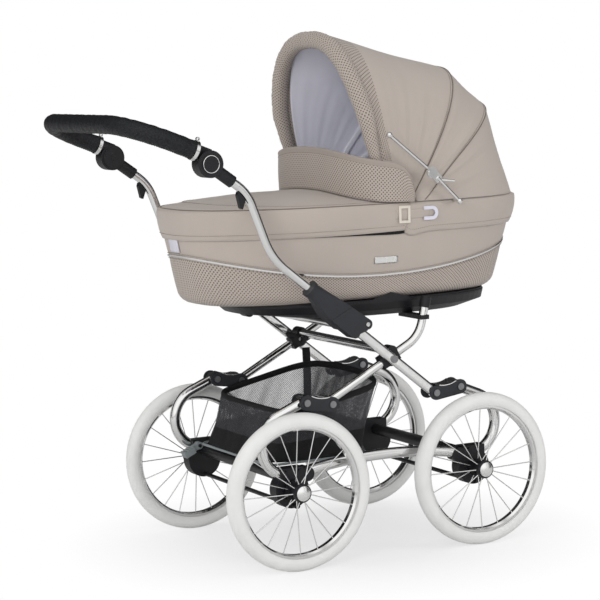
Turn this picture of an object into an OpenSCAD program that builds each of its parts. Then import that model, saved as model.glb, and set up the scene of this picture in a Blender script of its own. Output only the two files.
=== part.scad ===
// Bassinet pram: a carrycot with a folding hood on a sprung, folding chassis with spoked wheels.
// Millimetres. +X is the way it travels, +Y its left, +Z up.
// The origin is on the ground, midway between the axles.

/* [Wheels] */
// Outer diameter of a tyre
wheel_d = 360; // [330:5:380]
// Diameter of the tyre's round section
tyre_d = 38; // [32:1:42]
// Distance between the front and rear axles
wheelbase = 485; // [470:5:520]
// Distance between the two wheel planes of an axle
track = 549; // [530:1:600]
// Wire spokes in a wheel
spokes = 20; // [12:4:28]
// Diameter of a spoke wire
spoke_d = 2.4; // [1.6:0.2:3]
// Diameter of an axle stub
axle_d = 12; // [10:0.5:14]
// Radius of the black hub
hub_r = 21; // [19:0.5:24]
// Length of the hub along its axle
hub_len = 40; // [36:1:44]
// Radius of the brake drum on a rear hub
drum_r = 25; // [22:0.5:28]

/* [Undercarriage] */
// Diameter of the C-shaped spring tubes
spring_d = 25; // [20:1:28]
// Radius of the C at each end, on the tube's centre
spring_r = 72; // [66:1:80]
// Distance from a wheel's plane to the spring tube's plane
wheel_gap = 44.5; // [44:0.5:50]
// Height of the rail's ends above the axles
rail_rise = 32; // [28:1:38]
// How far the rail arches up in the middle
rail_bow = 22; // [10:1:30]
// Radius of an axle block
block_r = 42; // [38:1:46]
// Thickness of an axle block
block_w = 32; // [30:1:34]
// Diameter of the axle cross tubes
cross_d = 28; // [20:1:30]
// Diameter of the tie rod and of the brake shaft
rod_d = 10; // [8:0.5:12]

/* [Links] */
// Half the distance between the front and rear outer rivets
link_outer_x = 204; // [198:1:210]
// Height of the outer rivets above the axles
link_outer_z = 195; // [190:1:200]
// Half the distance between the front and rear inner rivets
link_inner_x = 138; // [132:1:144]
// Height of the inner rivets above the axles
link_inner_z = 186; // [180:1:192]
// Width of a link across its plates
link_w = 44; // [44:0.5:46]
// Thickness of a link plate
link_plate = 4; // [3:0.5:4]
// Radius of a link's round ends
link_r = 17; // [16:0.5:19]
// Diameter of the rivet pins
rivet_d = 8; // [6:0.5:9]

/* [Cross frame] */
// Forward place of the X pivots
pivot_x = 28; // [20:1:36]
// Height of the X pivots above the axles
pivot_z = 274; // [268:1:280]
// Diameter of the rear arms
arm_d = 20; // [16:1:20]
// Straight run of a rear arm beyond its pivot
arm_run = 60; // [50:1:70]
// Bend radius of a front upright
upright_r = 74; // [60:1:85]
// Slope of a front upright
upright_slope = 77; // [70:1:84]
// Height of a flat handle arm's section
flat_h = 24; // [20:1:26]
// Thickness of a flat handle arm's section
flat_w = 14; // [10:0.5:14]
// Length of a handle arm from its pivot to its upper end
flat_len = 150; // [146:1:152]
// Diameter of the X pivot pins
pin_d = 10; // [8:0.5:11]
// Diameter of the handle arms' cross bar
bar_d = 18; // [14:1:20]

/* [Handle] */
// Diameter of the handle tubes
tube_d = 20; // [18:0.5:21]
// Distance from the handle arms' plane to the handle tubes' plane
tube_shift = 25.5; // [24:0.5:28]
// Place of the fold pivot along the handle arm
fold_s = 124; // [122:1:126]
// Height of the fold pivot over the handle arm's middle
fold_t = 17; // [16:0.5:18]
// Height of a hinge housing
housing_h = 54; // [52:1:58]
// Length of a lock sleeve
sleeve_len = 110; // [100:1:118]
// Straight run of a handle tube above its sleeve
tube_run_a = 74; // [65:1:85]
// Radius of the lower bend of a handle tube
tube_bend_a = 155; // [140:1:170]
// Angle of the lower bend
tube_turn_a = 30.5; // [26:0.5:34]
// Straight run between the bends
tube_run_b = 84; // [75:1:105]
// Radius of the upper bend
tube_bend_b = 102; // [90:1:120]
// Angle of the upper bend
tube_turn_b = 33.6; // [28:0.2:38]
// Straight run from the upper bend to the handlebar hinge
tube_run_c = 86; // [80:1:95]
// Radius of a handlebar hinge disc
disc_r = 30; // [28:0.5:33]
// Thickness of one hinge disc
disc_w = 18; // [16:0.5:20]
// Slope of the handlebar
bar_slope = 21.7; // [15:0.1:28]
// Reach of the handlebar behind its hinges
bar_reach = 200; // [180:1:220]
// Corner radius of the handlebar
bar_corner = 100; // [80:1:115]
// Diameter of the padded grip
grip_d = 42; // [36:1:44]
// Radius of the bag loop's hole
loop_r = 2.5; // [2:0.1:3]

/* [Carrycot] */
// Gap between the carrycot and the handle tubes
cot_gap = 34; // [32:1:44]
// Half the length of the rim
cot_a = 444; // [430:1:455]
// Forward place of the rim's middle
cot_x = 32; // [26:1:38]
// Height of the upholstered tub
tub_h = 220; // [205:1:235]
// How much narrower each side of the tub is at its bottom
tub_taper_b = 28; // [22:1:34]
// How much shorter each end of the tub is at its bottom
tub_taper_a = 46; // [40:1:55]
// Thickness of the tub's padded wall
tub_wall = 9; // [6:0.5:12]
// Height of the moulded base
base_h = 40; // [34:1:46]
// Height of the band round the rim
band_h = 66; // [58:1:74]
// Thickness of the band, the apron and the canopy
cloth = 5; // [4:0.5:6]
// Height of the upright wind flap
flap_h = 88; // [75:1:95]

/* [Hood] */
// Forward place of the hood's pivots
hood_x = 100; // [95:1:106]
// Reach of the front roll from the pivots
roll_reach = 408; // [390:1:412]
// Lean of the front roll from the horizontal
roll_lean = 107; // [102:1:110]
// Diameter of the front roll
roll_d = 40; // [32:1:42]

/* [Basket] */
// Gap between the basket's bottom and the axle blocks
basket_gap = 28; // [20:1:42]
// Height of the basket's bottom above the axles
basket_z = 52; // [48:1:65]

/* [Hidden] */
$fn = 48;
running = 0.05;
seat = 0.3;
far = 1000;
weld_w = 1.2;
weld_t = 0.1;
weld_gap = 0.2;

// Wheels
axle_z = wheel_d / 2;
axle_x = wheelbase / 2;
wheel_y = track / 2;
tyre_ring = axle_z - tyre_d / 2;
rim_bed = axle_z - tyre_d * 0.9;
rim_lip = rim_bed + 4;
rim_in = rim_bed - 5;
lip_w = 8.5;
rim_w = 11;
flange_y = 13;
cap_r = hub_r - 4;

// Planes of the chassis, from the middle outwards
spring_y = wheel_y - wheel_gap;
link_in = spring_y - link_w / 2;
arm_y = link_in + link_plate + 0.5 + arm_d / 2;
flat_y = arm_y + arm_d / 2 + 1 + flat_w / 2;
tube_y = flat_y + tube_shift;
block_in = spring_y - block_w / 2 - 2;
block_out = block_in + block_w;

// The spring tube's path, in the side plane
rail_x = axle_x - 17.5;
rail_z = axle_z + rail_rise;
rail_r = (rail_x * rail_x + rail_bow * rail_bow) / (2 * rail_bow);
rail_turn = asin(rail_x / rail_r);
c_x = rail_x + spring_r * sin(rail_turn);
c_z = rail_z + spring_r * cos(rail_turn);
outer_z = axle_z + link_outer_z;
inner_z = axle_z + link_inner_z;
c_span = norm([link_outer_x - c_x, outer_z - c_z]);
c_end = atan2(outer_z - c_z, link_outer_x - c_x) - acos(spring_r / c_span);
c_tail = sqrt(c_span * c_span - spring_r * spring_r);

// Links and cross frame, in the side plane
link_len = norm([link_outer_x - link_inner_x, outer_z - inner_z]);
link_tilt = atan2(outer_z - inner_z, link_outer_x - link_inner_x);
eye_r = spring_d / 2 + 2;
open_slack = 3.4;
rivet_head = 2.5;
pivot_h = axle_z + pivot_z;
arm_len = norm([pivot_x + link_inner_x, pivot_h - inner_z]);
arm_slope = atan2(pivot_h - inner_z, pivot_x + link_inner_x);
flat_slope = atan2(pivot_h - inner_z, pivot_x - link_inner_x);
leg_len = norm([pivot_x - link_inner_x, pivot_h - inner_z]);

// Handle, along the handle arm from its pivot
slot_end = flat_len + 15;
housing_top = fold_t + 8;
housing_low = housing_top - housing_h;
seam_top = slot_end + 16;
seam_low = seam_top + 26;
seam_gap = 0.6;
sleeve_end = seam_top + seam_gap + sleeve_len;
housing_in = flat_y - flat_w / 2 - 3.5;
housing_out = tube_y + tube_d / 2 + 4;
ear_r = 12;
trunnion_r = rivet_d / 2 + 1;
hinge_legs = [[sleeve_end - slot_end + tube_run_a], [tube_bend_a, -tube_turn_a], [tube_run_b],
              [tube_bend_b, tube_turn_b], [tube_run_c]];
hinge_pos = leg_end(hinge_legs, on_arm(slot_end, 0), flat_slope);
hinge_turn = flat_slope - tube_turn_a + tube_turn_b;
trigger_share = 0.68;
trigger_pos = leg_end([hinge_legs[0], hinge_legs[1], hinge_legs[2],
                       [tube_bend_b, tube_turn_b * trigger_share]], on_arm(slot_end, 0), flat_slope);
trigger_turn = flat_slope - tube_turn_a + tube_turn_b * trigger_share;
disc_gap = 0.3;
stub_in = disc_r + 1;
sleeve_r = tube_d / 2 + 4;
sleeve_reach = 72;
collar_lift = 17;
collar_r = 16;
collar_reach = 36;
ring_w = 8;
button_r = 20;
button_travel = 4;

// Carrycot
bar_s = flat_len - 7;
bar_t = -6;
cot_z = on_arm(bar_s, bar_t)[1] + bar_d / 2 + seat;
cot_b = tube_y - tube_d / 2 - cot_gap;
tub_z = cot_z + base_h;
rim_z = tub_z + tub_h;
band_z = rim_z - band_h;
round_n = 2.6;
lap = 1;
front_edge = hood_x - 14;
ring_n = 64;
hood_z = rim_z + 4.6;
roll_b = cot_b;
stay_y = tube_y - tube_d / 2 - 9;
hood_back = cot_x + cot_a - hood_x - 3;
mid_angle = 57;
mid_reach = 365;
back_angle = 36;
back_reach = 373;
hood_draw = 34;

// Ends a path of straight legs [length] and bends [radius, turn], from a point and heading
function leg_end(legs, from, heading, i = 0) =
    i == len(legs) ? from :
    len(legs[i]) == 1
        ? leg_end(legs, from + legs[i][0] * [cos(heading), sin(heading)], heading, i + 1)
        : leg_end(legs, from + bend_step(legs[i][0], legs[i][1], heading), heading + legs[i][1], i + 1);

// How far a bend moves its path on
function bend_step(r, turn, heading) =
    let (ahead = r * sin(abs(turn)), aside = sign(turn) * r * (1 - cos(turn)))
    [ahead * cos(heading) - aside * sin(heading), ahead * sin(heading) + aside * cos(heading)];

// A point of the side plane, s along the handle arm from its pivot and t above it
function on_arm(s, t) = [pivot_x + s * cos(flat_slope) + t * sin(flat_slope),
                         pivot_h + s * sin(flat_slope) - t * cos(flat_slope)];

// Signed power, for superellipses
function spow(v, e) = sign(v) * pow(abs(v), e);

// One ring of the carrycot's plan, with half length a and half width b
function plan_ring(xc, a, b, z, n = round_n) =
    [for (i = [0:ring_n - 1]) let (t = 360 * i / ring_n)
        [xc + a * spow(cos(t), 2 / n), b * spow(sin(t), 2 / n), z]];

// The tub's outer plan at a share h of its height, set out by a distance
function tub_a(h) = cot_a - tub_taper_a * pow(1 - h, 1.3) - 4 * (1 - h);
function tub_b(h) = cot_b - tub_taper_b * pow(1 - h, 1.3) - 3 * (1 - h);
function tub_x(h) = cot_x - 9 * (1 - h);
function tub_ring(h, out = 0) =
    plan_ring(tub_x(h), tub_a(h) + out, tub_b(h) + out, tub_z + h * tub_h);

// Triangles between neighbouring rings of n points, from the first of m rings to the last named
function ring_faces(n, m, last) = [for (j = [0:last], i = [0:n - 1], h = [0, 1])
    let (k = (i + 1) % n, q = (j + 1) % m)
    h == 0 ? [j * n + i, q * n + k, j * n + k] : [j * n + i, q * n + i, q * n + k]];

// Draws in the side plane at a given y: x stays x and y becomes z
module side_plane(y) {
    translate([0, y, 0]) rotate([90, 0, 0]) children();
}

// Draws on both sides, the right one mirrored
module both_sides() {
    children();
    mirror([0, 1, 0]) children();
}

// The low bead round a tube where a straight leg meets a bend
module weld(d) {
    rotate([0, 90, 0]) cylinder(d = d + 2 * weld_t, h = weld_w, center = true);
}

// One bend of a tube from the origin along +X, a little short at each end
module tube_bend(d, r, turn) {
    short = weld_gap / r * 180 / PI;
    mirror([0, turn < 0 ? 1 : 0, 0]) translate([0, r, 0]) rotate(short - 90)
        rotate_extrude(angle = abs(turn) - 2 * short) translate([r, 0]) circle(d = d);
}

// A tube along straight legs and bends, from the origin along +X
module tube_path(d, legs, i = 0) {
    if (i < len(legs)) {
        if (i > 0) weld(d);
        if (len(legs[i]) == 1) {
            from = i > 0 ? weld_gap : 0;
            to = i < len(legs) - 1 ? weld_gap : 0;
            translate([from, 0, 0]) rotate([0, 90, 0]) cylinder(d = d, h = legs[i][0] - from - to);
            translate([legs[i][0], 0, 0]) tube_path(d, legs, i + 1);
        } else {
            r = legs[i][0];
            turn = legs[i][1];
            tube_bend(d, r, turn);
            translate([r * sin(abs(turn)), sign(turn) * r * (1 - cos(turn)), 0]) rotate(turn)
                tube_path(d, legs, i + 1);
        }
    }
}

// A skin through closed rings of equal length, capped at both ends
module loft(rings) {
    n = len(rings[0]);
    m = len(rings);
    caps = [[for (i = [0:n - 1]) i], [for (i = [n - 1:-1:0]) (m - 1) * n + i]];
    polyhedron([for (r = rings) each r], concat(caps, ring_faces(n, m, m - 2)));
}

// A skin through rings that closes on itself, last ring to first
module closed_loft(rings) {
    n = len(rings[0]);
    m = len(rings);
    polyhedron([for (r = rings) each r], ring_faces(n, m, m - 1));
}

// A skin through ribbon rings, outer edge then inner edge back, with ribbon caps
module ribbon_loft(rings) {
    n = len(rings[0]);
    m = len(rings);
    end = (m - 1) * n;
    caps = [for (i = [0:n / 2 - 2], h = [0:3]) let (k = n - 1 - i)
        h == 0 ? [i, i + 1, k - 1] : h == 1 ? [i, k - 1, k] :
        h == 2 ? [end + i, end + k - 1, end + i + 1] : [end + i, end + k, end + k - 1]];
    polyhedron([for (r = rings) each r], concat(caps, ring_faces(n, m, m - 2)));
}

// Sets a wheel piece, drawn along +Z outwards, at one corner
module at_wheel(front, left) {
    translate([front * axle_x, left * wheel_y, axle_z]) rotate([-90 * left, 0, 0]) children();
}

module tyre(front, left) {
    color("white") at_wheel(front, left) rotate_extrude($fn = 96) difference() {
        translate([tyre_ring, 0]) circle(d = tyre_d);
        translate([0, -tyre_d]) square([rim_bed + seat, 2 * tyre_d]);
        for (s = [0, 1]) mirror([0, s]) translate([0, lip_w - seat]) square([rim_lip + seat, tyre_d]);
    }
}

module rim(front, left) {
    color("silver") at_wheel(front, left) {
        rotate_extrude($fn = 96) polygon([
            [rim_in, -6], [rim_in, 6], [rim_in + 4, rim_w], [rim_lip, rim_w], [rim_lip, lip_w],
            [rim_bed, lip_w], [rim_bed, -lip_w], [rim_lip, -lip_w], [rim_lip, -rim_w], [rim_in + 4, -rim_w]]);
        for (i = [0:spokes - 1]) rotate(360 * i / spokes) spoke(i % 2 == 0 ? flange_y : -flange_y);
    }
}

// One wire from a hub flange to the rim's middle
module spoke(y) {
    run = [rim_in + 1 - hub_r - 0.6, -y];
    translate([hub_r + 0.6, 0, y]) rotate([0, 90 + atan2(y, run[0]), 0])
        cylinder(d = spoke_d, h = norm(run), $fn = 16);
}

module hub(front, left) {
    drum = front < 0 ? hub_len / 2 - flange_y - spoke_d / 2 - seat : 0;
    color([0.1, 0.1, 0.1]) at_wheel(front, left) difference() {
        union() {
            translate([0, 0, -hub_len / 2]) cylinder(r = hub_r - 6, h = hub_len);
            for (s = [-1, 1]) translate([0, 0, s * flange_y - 3]) cylinder(r = hub_r, h = 6);
            translate([0, 0, flange_y]) cylinder(r = hub_r, h = hub_len / 2 - flange_y);
            if (drum > 0) translate([0, 0, -hub_len / 2]) cylinder(r = drum_r, h = drum);
        }
        translate([0, 0, -far / 2]) cylinder(d = axle_d + 2 * running, h = far);
    }
}

module hub_cap(front, left) {
    dome_r = cap_r * 1.8;
    color("gainsboro") at_wheel(front, left) translate([0, 0, hub_len / 2]) {
        difference() {
            union() {
                cylinder(r = cap_r, h = 3);
                intersection() {
                    cylinder(r = cap_r, h = cap_r);
                    translate([0, 0, 8 - dome_r]) sphere(r = dome_r, $fn = 64);
                }
            }
            translate([0, 0, -1]) cylinder(d = axle_d + 1, h = 3);
        }
    }
}

module axle_stubs() {
    color("dimgray") for (f = [-1, 1], l = [-1, 1]) translate([f * axle_x, 0, axle_z])
        rotate([-90 * l, 0, 0])
        translate([0, 0, block_in + 6]) cylinder(d = axle_d, h = wheel_y + hub_len / 2 + 1 - block_in - 6);
}

// The whole spring tube of one side, grown by a clearance: tail, C, rail, C, tail
module spring_tube(grow = 0) {
    c_turn = c_end + 90 + rail_turn;
    legs = [[c_tail], [spring_r, c_turn], [rail_r, -2 * rail_turn], [spring_r, c_turn], [c_tail]];
    translate([-link_outer_x, outer_z, 0]) rotate(270 - c_end)
        tube_path(spring_d + 2 * grow, legs);
}

module spring_frames() {
    color("silver") both_sides() side_plane(spring_y) difference() {
        union() {
            spring_tube();
            for (s = [-1, 1]) translate([s * link_outer_x, outer_z, 0])
                cylinder(r = eye_r, h = spring_d - 2, center = true);
        }
        translate([-link_outer_x, outer_z, 0]) cylinder(d = rivet_d + 2 * running, h = far, center = true);
        translate([link_outer_x, outer_z, 0]) cylinder(d = rivet_d + 2 * open_slack, h = far, center = true);
    }
}

module axle_blocks() {
    color([0.12, 0.12, 0.13]) both_sides() side_plane(block_out) for (f = [-1, 1]) difference() {
        union() {
            translate([f * axle_x, axle_z, 0]) cylinder(r = block_r, h = block_w);
            translate([f * axle_x - 30, axle_z, 0]) cube([60, rail_rise + spring_d / 2 + 6, block_w]);
            translate([f * (axle_x - 40), rail_z, 0]) cylinder(r = 17, h = block_w);
        }
        translate([0, 0, block_out - spring_y]) spring_tube(0.1);
        translate([f * axle_x, axle_z, -1]) cylinder(d = axle_d + 2 * running, h = block_w - 4);
        translate([f * axle_x, axle_z - drum_r - rod_d, -1])
            cylinder(d = rod_d + 2 * running, h = block_w + 2);
        for (k = [-1, 1]) translate([f * axle_x + 16 * k, axle_z + rail_rise + spring_d / 2, -1])
            cylinder(d = 5, h = 4);
    }
    color([0.12, 0.12, 0.13]) side_plane(block_in + 4) translate([-pedal_x, pedal_z, 0])
        cylinder(d = rivet_d, h = 24);
}

module cross_tubes() {
    color([0.12, 0.12, 0.13]) {
        for (f = [-1, 1]) translate([f * axle_x, block_in, axle_z + rail_rise - 7]) rotate([90, 0, 0])
            cylinder(d = cross_d, h = 2 * block_in);
        translate([axle_x, block_out - 4, axle_z - drum_r - rod_d]) rotate([90, 0, 0])
            cylinder(d = rod_d, h = 2 * (block_out - 4));
    }
}

// A rod under both rear hubs, with a cam below each drum
module brake_shaft() {
    cam_y = wheel_y - hub_len / 2;
    color([0.12, 0.12, 0.13]) translate([-axle_x, 0, axle_z - drum_r - rod_d]) {
        translate([0, cam_y + 6, 0]) rotate([90, 0, 0]) cylinder(d = rod_d, h = 2 * cam_y + 12);
        both_sides() translate([4, cam_y + 6, 0]) rotate([90, 0, 0]) cylinder(d = rod_d + 1.4, h = 5.5);
    }
}

pedal_x = axle_x + 20;
pedal_z = rail_z + 7;

// The foot pedal on the rear left block: a boss, a short arm and a ribbed tread
module brake_pedal() {
    droop = 205;
    arm = 20;
    tread = [28, 16, 24];
    boss_h = 16;
    groove = 2.5;
    color("slategray") side_plane(block_in - seat) translate([-pedal_x, pedal_z, 0]) difference() {
        union() {
            cylinder(r = 9, h = boss_h);
            rotate(droop) translate([0, -7, 1]) cube([arm, 14, boss_h - 2]);
            rotate(droop) translate([arm - 2, -tread[1] / 2, 0]) cube(tread);
        }
        for (k = [0:2]) rotate(droop) translate([arm + 3 + 8 * k, -tread[1] / 2 - 1, -1])
            cube([groove, groove + 1, tread[2] + 2]);
        translate([0, 0, -1]) cylinder(d = rivet_d + 2 * running, h = boss_h + 2);
    }
}

// A link in its own plane: outer rivet at the origin, inner rivet on +X
module link_outline() {
    circle(r = link_r);
    translate([link_len, 0]) circle(r = link_r);
    translate([0, -link_r]) square([link_len, 2 * link_r]);
}

// Places link pieces of one end: front is 1 or -1
module at_links(front) {
    both_sides() mirror([front > 0 ? 1 : 0, 0, 0]) side_plane(spring_y)
        translate([-link_outer_x, outer_z, 0]) rotate(-link_tilt) children();
}

saddle_r = 70;
saddle_t = 2;

// The hollow that the saddle lies in, centred over the link
module saddle_cut(r) {
    translate([link_len / 2, link_r + saddle_r - 6, 0]) cylinder(r = r, h = far, center = true, $fn = 96);
}

module links(front) {
    bridge = link_len - 2 * (eye_r + open_slack + seat);
    color([0.22, 0.23, 0.25]) at_links(front) difference() {
        union() {
            for (s = [0, 1]) mirror([0, 0, s]) translate([0, 0, link_w / 2 - link_plate])
                linear_extrude(link_plate) link_outline();
            translate([(link_len - bridge) / 2, -link_r + 6, -link_w / 2])
                cube([bridge, 2 * link_r - 6, link_w]);
        }
        saddle_cut(saddle_r);
        for (x = [0, link_len]) translate([x, 0, 0])
            cylinder(d = rivet_d + 2 * running, h = far, center = true);
    }
}

module link_saddles(front) {
    color("silver") at_links(front) intersection() {
        difference() {
            saddle_cut(saddle_r - 0.1);
            saddle_cut(saddle_r - saddle_t);
        }
        translate([10, 0, -link_w / 2]) cube([link_len - 20, link_r, link_w]);
    }
}

module link_pins(front) {
    color("dimgray") at_links(front) for (x = [0, link_len]) translate([x, 0, 0]) {
        cylinder(d = rivet_d, h = link_w + 2 * rivet_head, center = true);
        for (s = [0, 1]) mirror([0, 0, s]) translate([0, 0, link_w / 2 + 0.1])
            cylinder(d = 2 * rivet_d, h = rivet_head - 0.1);
    }
}

upright_top = tub_z - 2;
arm_bend = upright_slope - arm_slope;
bend_foot = leg_end([[arm_run]], [pivot_x, pivot_h], arm_slope);
bend_head = bend_foot + bend_step(upright_r, arm_bend, arm_slope);
upright_len = (upright_top - bend_head[1]) / sin(upright_slope);

cross_lift = 16;
block_face = arm_y + arm_d / 2 + 0.7;

module rear_arms() {
    legs = [[arm_len + arm_run], [upright_r, arm_bend], [upright_len]];
    color("silver") {
        both_sides() side_plane(arm_y) translate([-link_inner_x, inner_z, 0]) difference() {
            union() {
                rotate(arm_slope) tube_path(arm_d, legs);
                cylinder(r = arm_d / 2 + 2.5, h = arm_d - 1, center = true);
            }
            cylinder(d = rivet_d + 2 * running, h = far, center = true);
            rotate(arm_slope) translate([arm_len, 0, 0])
                cylinder(d = pin_d + 2 * running, h = far, center = true);
        }
        translate([pivot_x + 4, link_in - 1 - seat, pivot_h + cross_lift]) rotate([90, 0, 0])
            cylinder(d = arm_d, h = 2 * (link_in - 1 - seat));
    }
}

// Caps on the uprights, and the brackets that the carrycot's base stands on
module upright_caps() {
    bracket_z = cot_z - seat;
    reach = 90;
    foot = bend_head + (bracket_z - 5 - bend_head[1]) / sin(upright_slope)
        * [cos(upright_slope), sin(upright_slope)];
    head = bend_head + upright_len * [cos(upright_slope), sin(upright_slope)];
    color([0.15, 0.15, 0.16]) both_sides() {
        translate([head[0], arm_y, head[1]]) rotate([0, 90 - upright_slope, 0]) difference() {
            translate([0, 0, -22]) cylinder(d = arm_d + 5, h = 26);
            translate([0, 0, -23]) cylinder(d = arm_d + 2 * running, h = 23.05);
        }
        difference() {
            translate([foot[0] - 11, arm_y - reach, bracket_z - 10]) cube([22, reach + arm_d / 2 + 2, 10]);
            translate([foot[0], arm_y, foot[1]]) rotate([0, 90 - upright_slope, 0])
                cylinder(d = arm_d + 2 * running, h = 60, center = true);
        }
    }
}

// Moulded blocks round the rear arms at the X pivots
module pivot_blocks() {
    lift = [4, cross_lift];
    color([0.12, 0.12, 0.13]) both_sides() side_plane(block_face) difference() {
        translate([pivot_x, pivot_h, 0]) linear_extrude(block_face - link_in + 1) {
            circle(r = 18);
            translate(lift) circle(d = arm_d + 8);
            rotate(atan2(lift[1], lift[0])) translate([0, -arm_d / 2 - 2]) square([norm(lift), arm_d + 4]);
            rotate(arm_slope) translate([-24, -arm_d / 2 - 4]) square([48, arm_d + 8]);
        }
        translate([-link_inner_x, inner_z, block_face - arm_y]) rotate(arm_slope)
            tube_path(arm_d + 2 * running, [[arm_len + arm_run]]);
        translate([pivot_x, pivot_h, 0]) cylinder(d = pin_d + 2 * running, h = far, center = true);
    }
}

module pivot_pins() {
    outer = flat_y + flat_w / 2 + 0.3;
    color("dimgray") both_sides() side_plane(outer + 3) translate([pivot_x, pivot_h, 0]) {
        cylinder(r = 9, h = 3);
        cylinder(d = pin_d, h = outer + 3 - link_in - 3);
    }
}

// Draws along the handle arm: +X up the arm from its pivot, -Y over its front
module on_handle_arm(y) {
    side_plane(y) translate([pivot_x, pivot_h, 0]) rotate(flat_slope) children();
}

// Flat-oval arms with their lower eyes, hinge lugs with pins, and the cross bar
module handle_arms() {
    bar = on_arm(bar_s, bar_t);
    color("silver") {
        both_sides() on_handle_arm(flat_y) difference() {
            union() {
                translate([eye_r - leg_len, 0, 0]) rotate([90, 0, 90])
                    linear_extrude(flat_len + leg_len - eye_r) {
                    square([flat_h - flat_w, flat_w], center = true);
                    for (s = [-1, 1]) translate([s * (flat_h - flat_w) / 2, 0]) circle(d = flat_w);
                }
                translate([-leg_len, 0, 0]) cylinder(r = flat_h / 2, h = flat_w, center = true);
                translate([-leg_len, -flat_h / 2 + 4, -flat_w / 2 + 2])
                    cube([eye_r + 2, flat_h - 8, flat_w - 4]);
                translate([fold_s, -fold_t, 0]) cylinder(r = ear_r - 3, h = flat_w, center = true);
                translate([fold_s - ear_r + 3, -fold_t, -flat_w / 2 + 2])
                    cube([2 * ear_r - 6, fold_t, flat_w - 4]);
                translate([fold_s, -fold_t, flat_y - housing_out - 2])
                    cylinder(r = trunnion_r, h = housing_out - housing_in + 3);
            }
            translate([-leg_len, 0, 0]) cylinder(d = rivet_d + 2 * running, h = far, center = true);
            cylinder(d = pin_d + 2 * running, h = far, center = true);
        }
        translate([bar[0], flat_y - flat_w / 2, bar[1]]) rotate([90, 0, 0])
            cylinder(d = bar_d, h = 2 * flat_y - flat_w);
    }
}

// Hinge housings at the foot of the handle tubes
module hinge_housings() {
    slot_w = flat_w + 1;
    color([0.23, 0.24, 0.26]) both_sides() on_handle_arm(housing_out) difference() {
        linear_extrude(housing_out - housing_in) {
            translate([fold_s, -fold_t]) circle(r = ear_r);
            translate([flat_len - 12, -housing_low - 12]) circle(r = 12);
            polygon([[fold_s, -fold_t - ear_r], [seam_top, -housing_top], [seam_low, -housing_low],
                     [flat_len - 12, -housing_low], [fold_s - 8, -fold_t + 11.5]]);
        }
        translate([fold_s - 40, -housing_top + 11, housing_out - flat_y - slot_w / 2])
            cube([slot_end - fold_s + 40, far, slot_w]);
        translate([fold_s - 40, -far / 2, housing_out - flat_y - slot_w / 2]) cube([62, far, slot_w]);
        translate([fold_s - 40, -fold_t + 9, housing_out - flat_y]) cube([slot_end - fold_s + 40, far, far]);
        translate([fold_s, -fold_t, -1]) cylinder(r = trunnion_r + running, h = far);
        translate([slot_end - 8, 0, housing_out - tube_y]) rotate([0, 90, 0])
            cylinder(d = tube_d + 2 * running, h = far);
    }
}

// A sleeve that slides up the tube to free the fold
module lock_sleeve(left) {
    low = seam_low + seam_gap;
    top = seam_top + seam_gap;
    lean = 8;
    color([0.23, 0.24, 0.26]) mirror([0, left < 0 ? 1 : 0, 0]) on_handle_arm(housing_out) difference() {
        union() {
            hull() {
                linear_extrude(housing_out - housing_in, $fn = 32) polygon([
                    [top, -housing_top], [top + lean, -housing_top],
                    [low + lean, -housing_low], [low, -housing_low]]);
                translate([sleeve_end - 14, 0, housing_out - tube_y]) rotate([0, 90, 0])
                    cylinder(r = sleeve_r + 3, h = 7, $fn = 32);
            }
            translate([sleeve_end - 7, 0, housing_out - tube_y]) rotate([0, 90, 0])
                cylinder(r = sleeve_r + 6, h = 7);
        }
        translate([top - 50, 0, housing_out - tube_y]) rotate([0, 90, 0])
            cylinder(d = tube_d + 2 * running, h = far);
    }
}

module handle_tubes() {
    legs = concat([for (i = [0:3]) hinge_legs[i]], [[tube_run_c - stub_in - 2]]);
    color("silver") both_sides() on_handle_arm(tube_y) translate([slot_end, 0, 0]) tube_path(tube_d, legs);
}

// Draws at the handlebar hinge, +X back down the tube's last run
module at_hinge(y, turn) {
    side_plane(y) translate([hinge_pos[0], hinge_pos[1], 0]) rotate(turn) children();
}

module hinge_sleeves() {
    color([0.13, 0.13, 0.14]) both_sides() at_hinge(tube_y, hinge_turn + 180) difference() {
        union() {
            translate([stub_in, 0, 0]) rotate([0, 90, 0]) cylinder(r = sleeve_r, h = sleeve_reach - stub_in);
            intersection() {
                rotate([0, 90, 0]) cylinder(r = sleeve_r, h = stub_in + 1);
                translate([-far / 2, -far / 2, -disc_gap / 2 - far]) cube([far, far, far]);
            }
            translate([0, 0, -disc_gap / 2 - disc_w]) cylinder(r = disc_r, h = disc_w);
        }
        translate([stub_in + 2, 0, 0]) rotate([0, 90, 0]) cylinder(d = tube_d + 2 * running, h = far);
        translate([0, 0, -disc_gap / 2 - disc_w - 1])
            cylinder(r = button_r + seat, h = button_travel + 4.5);
    }
}

module hinge_discs() {
    color([0.13, 0.13, 0.14]) both_sides() at_hinge(tube_y, 180 - bar_slope) {
        translate([0, 0, disc_gap / 2]) cylinder(r = disc_r, h = disc_w - 2);
        translate([0, 0, disc_gap / 2 + disc_w - 2]) cylinder(r = disc_r - 5, h = 2);
        translate([0, 0, disc_gap / 2 + disc_w]) cylinder(r = 5, h = 1);
        translate([stub_in, -collar_lift, 0]) rotate([0, 90, 0])
            cylinder(r = collar_r, h = collar_reach - stub_in);
        intersection() {
            translate([0, -collar_lift, 0]) rotate([0, 90, 0]) cylinder(r = collar_r, h = stub_in + 1);
            translate([-far / 2, -far / 2, disc_gap / 2]) cube([far, far, far]);
        }
    }
}

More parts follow.
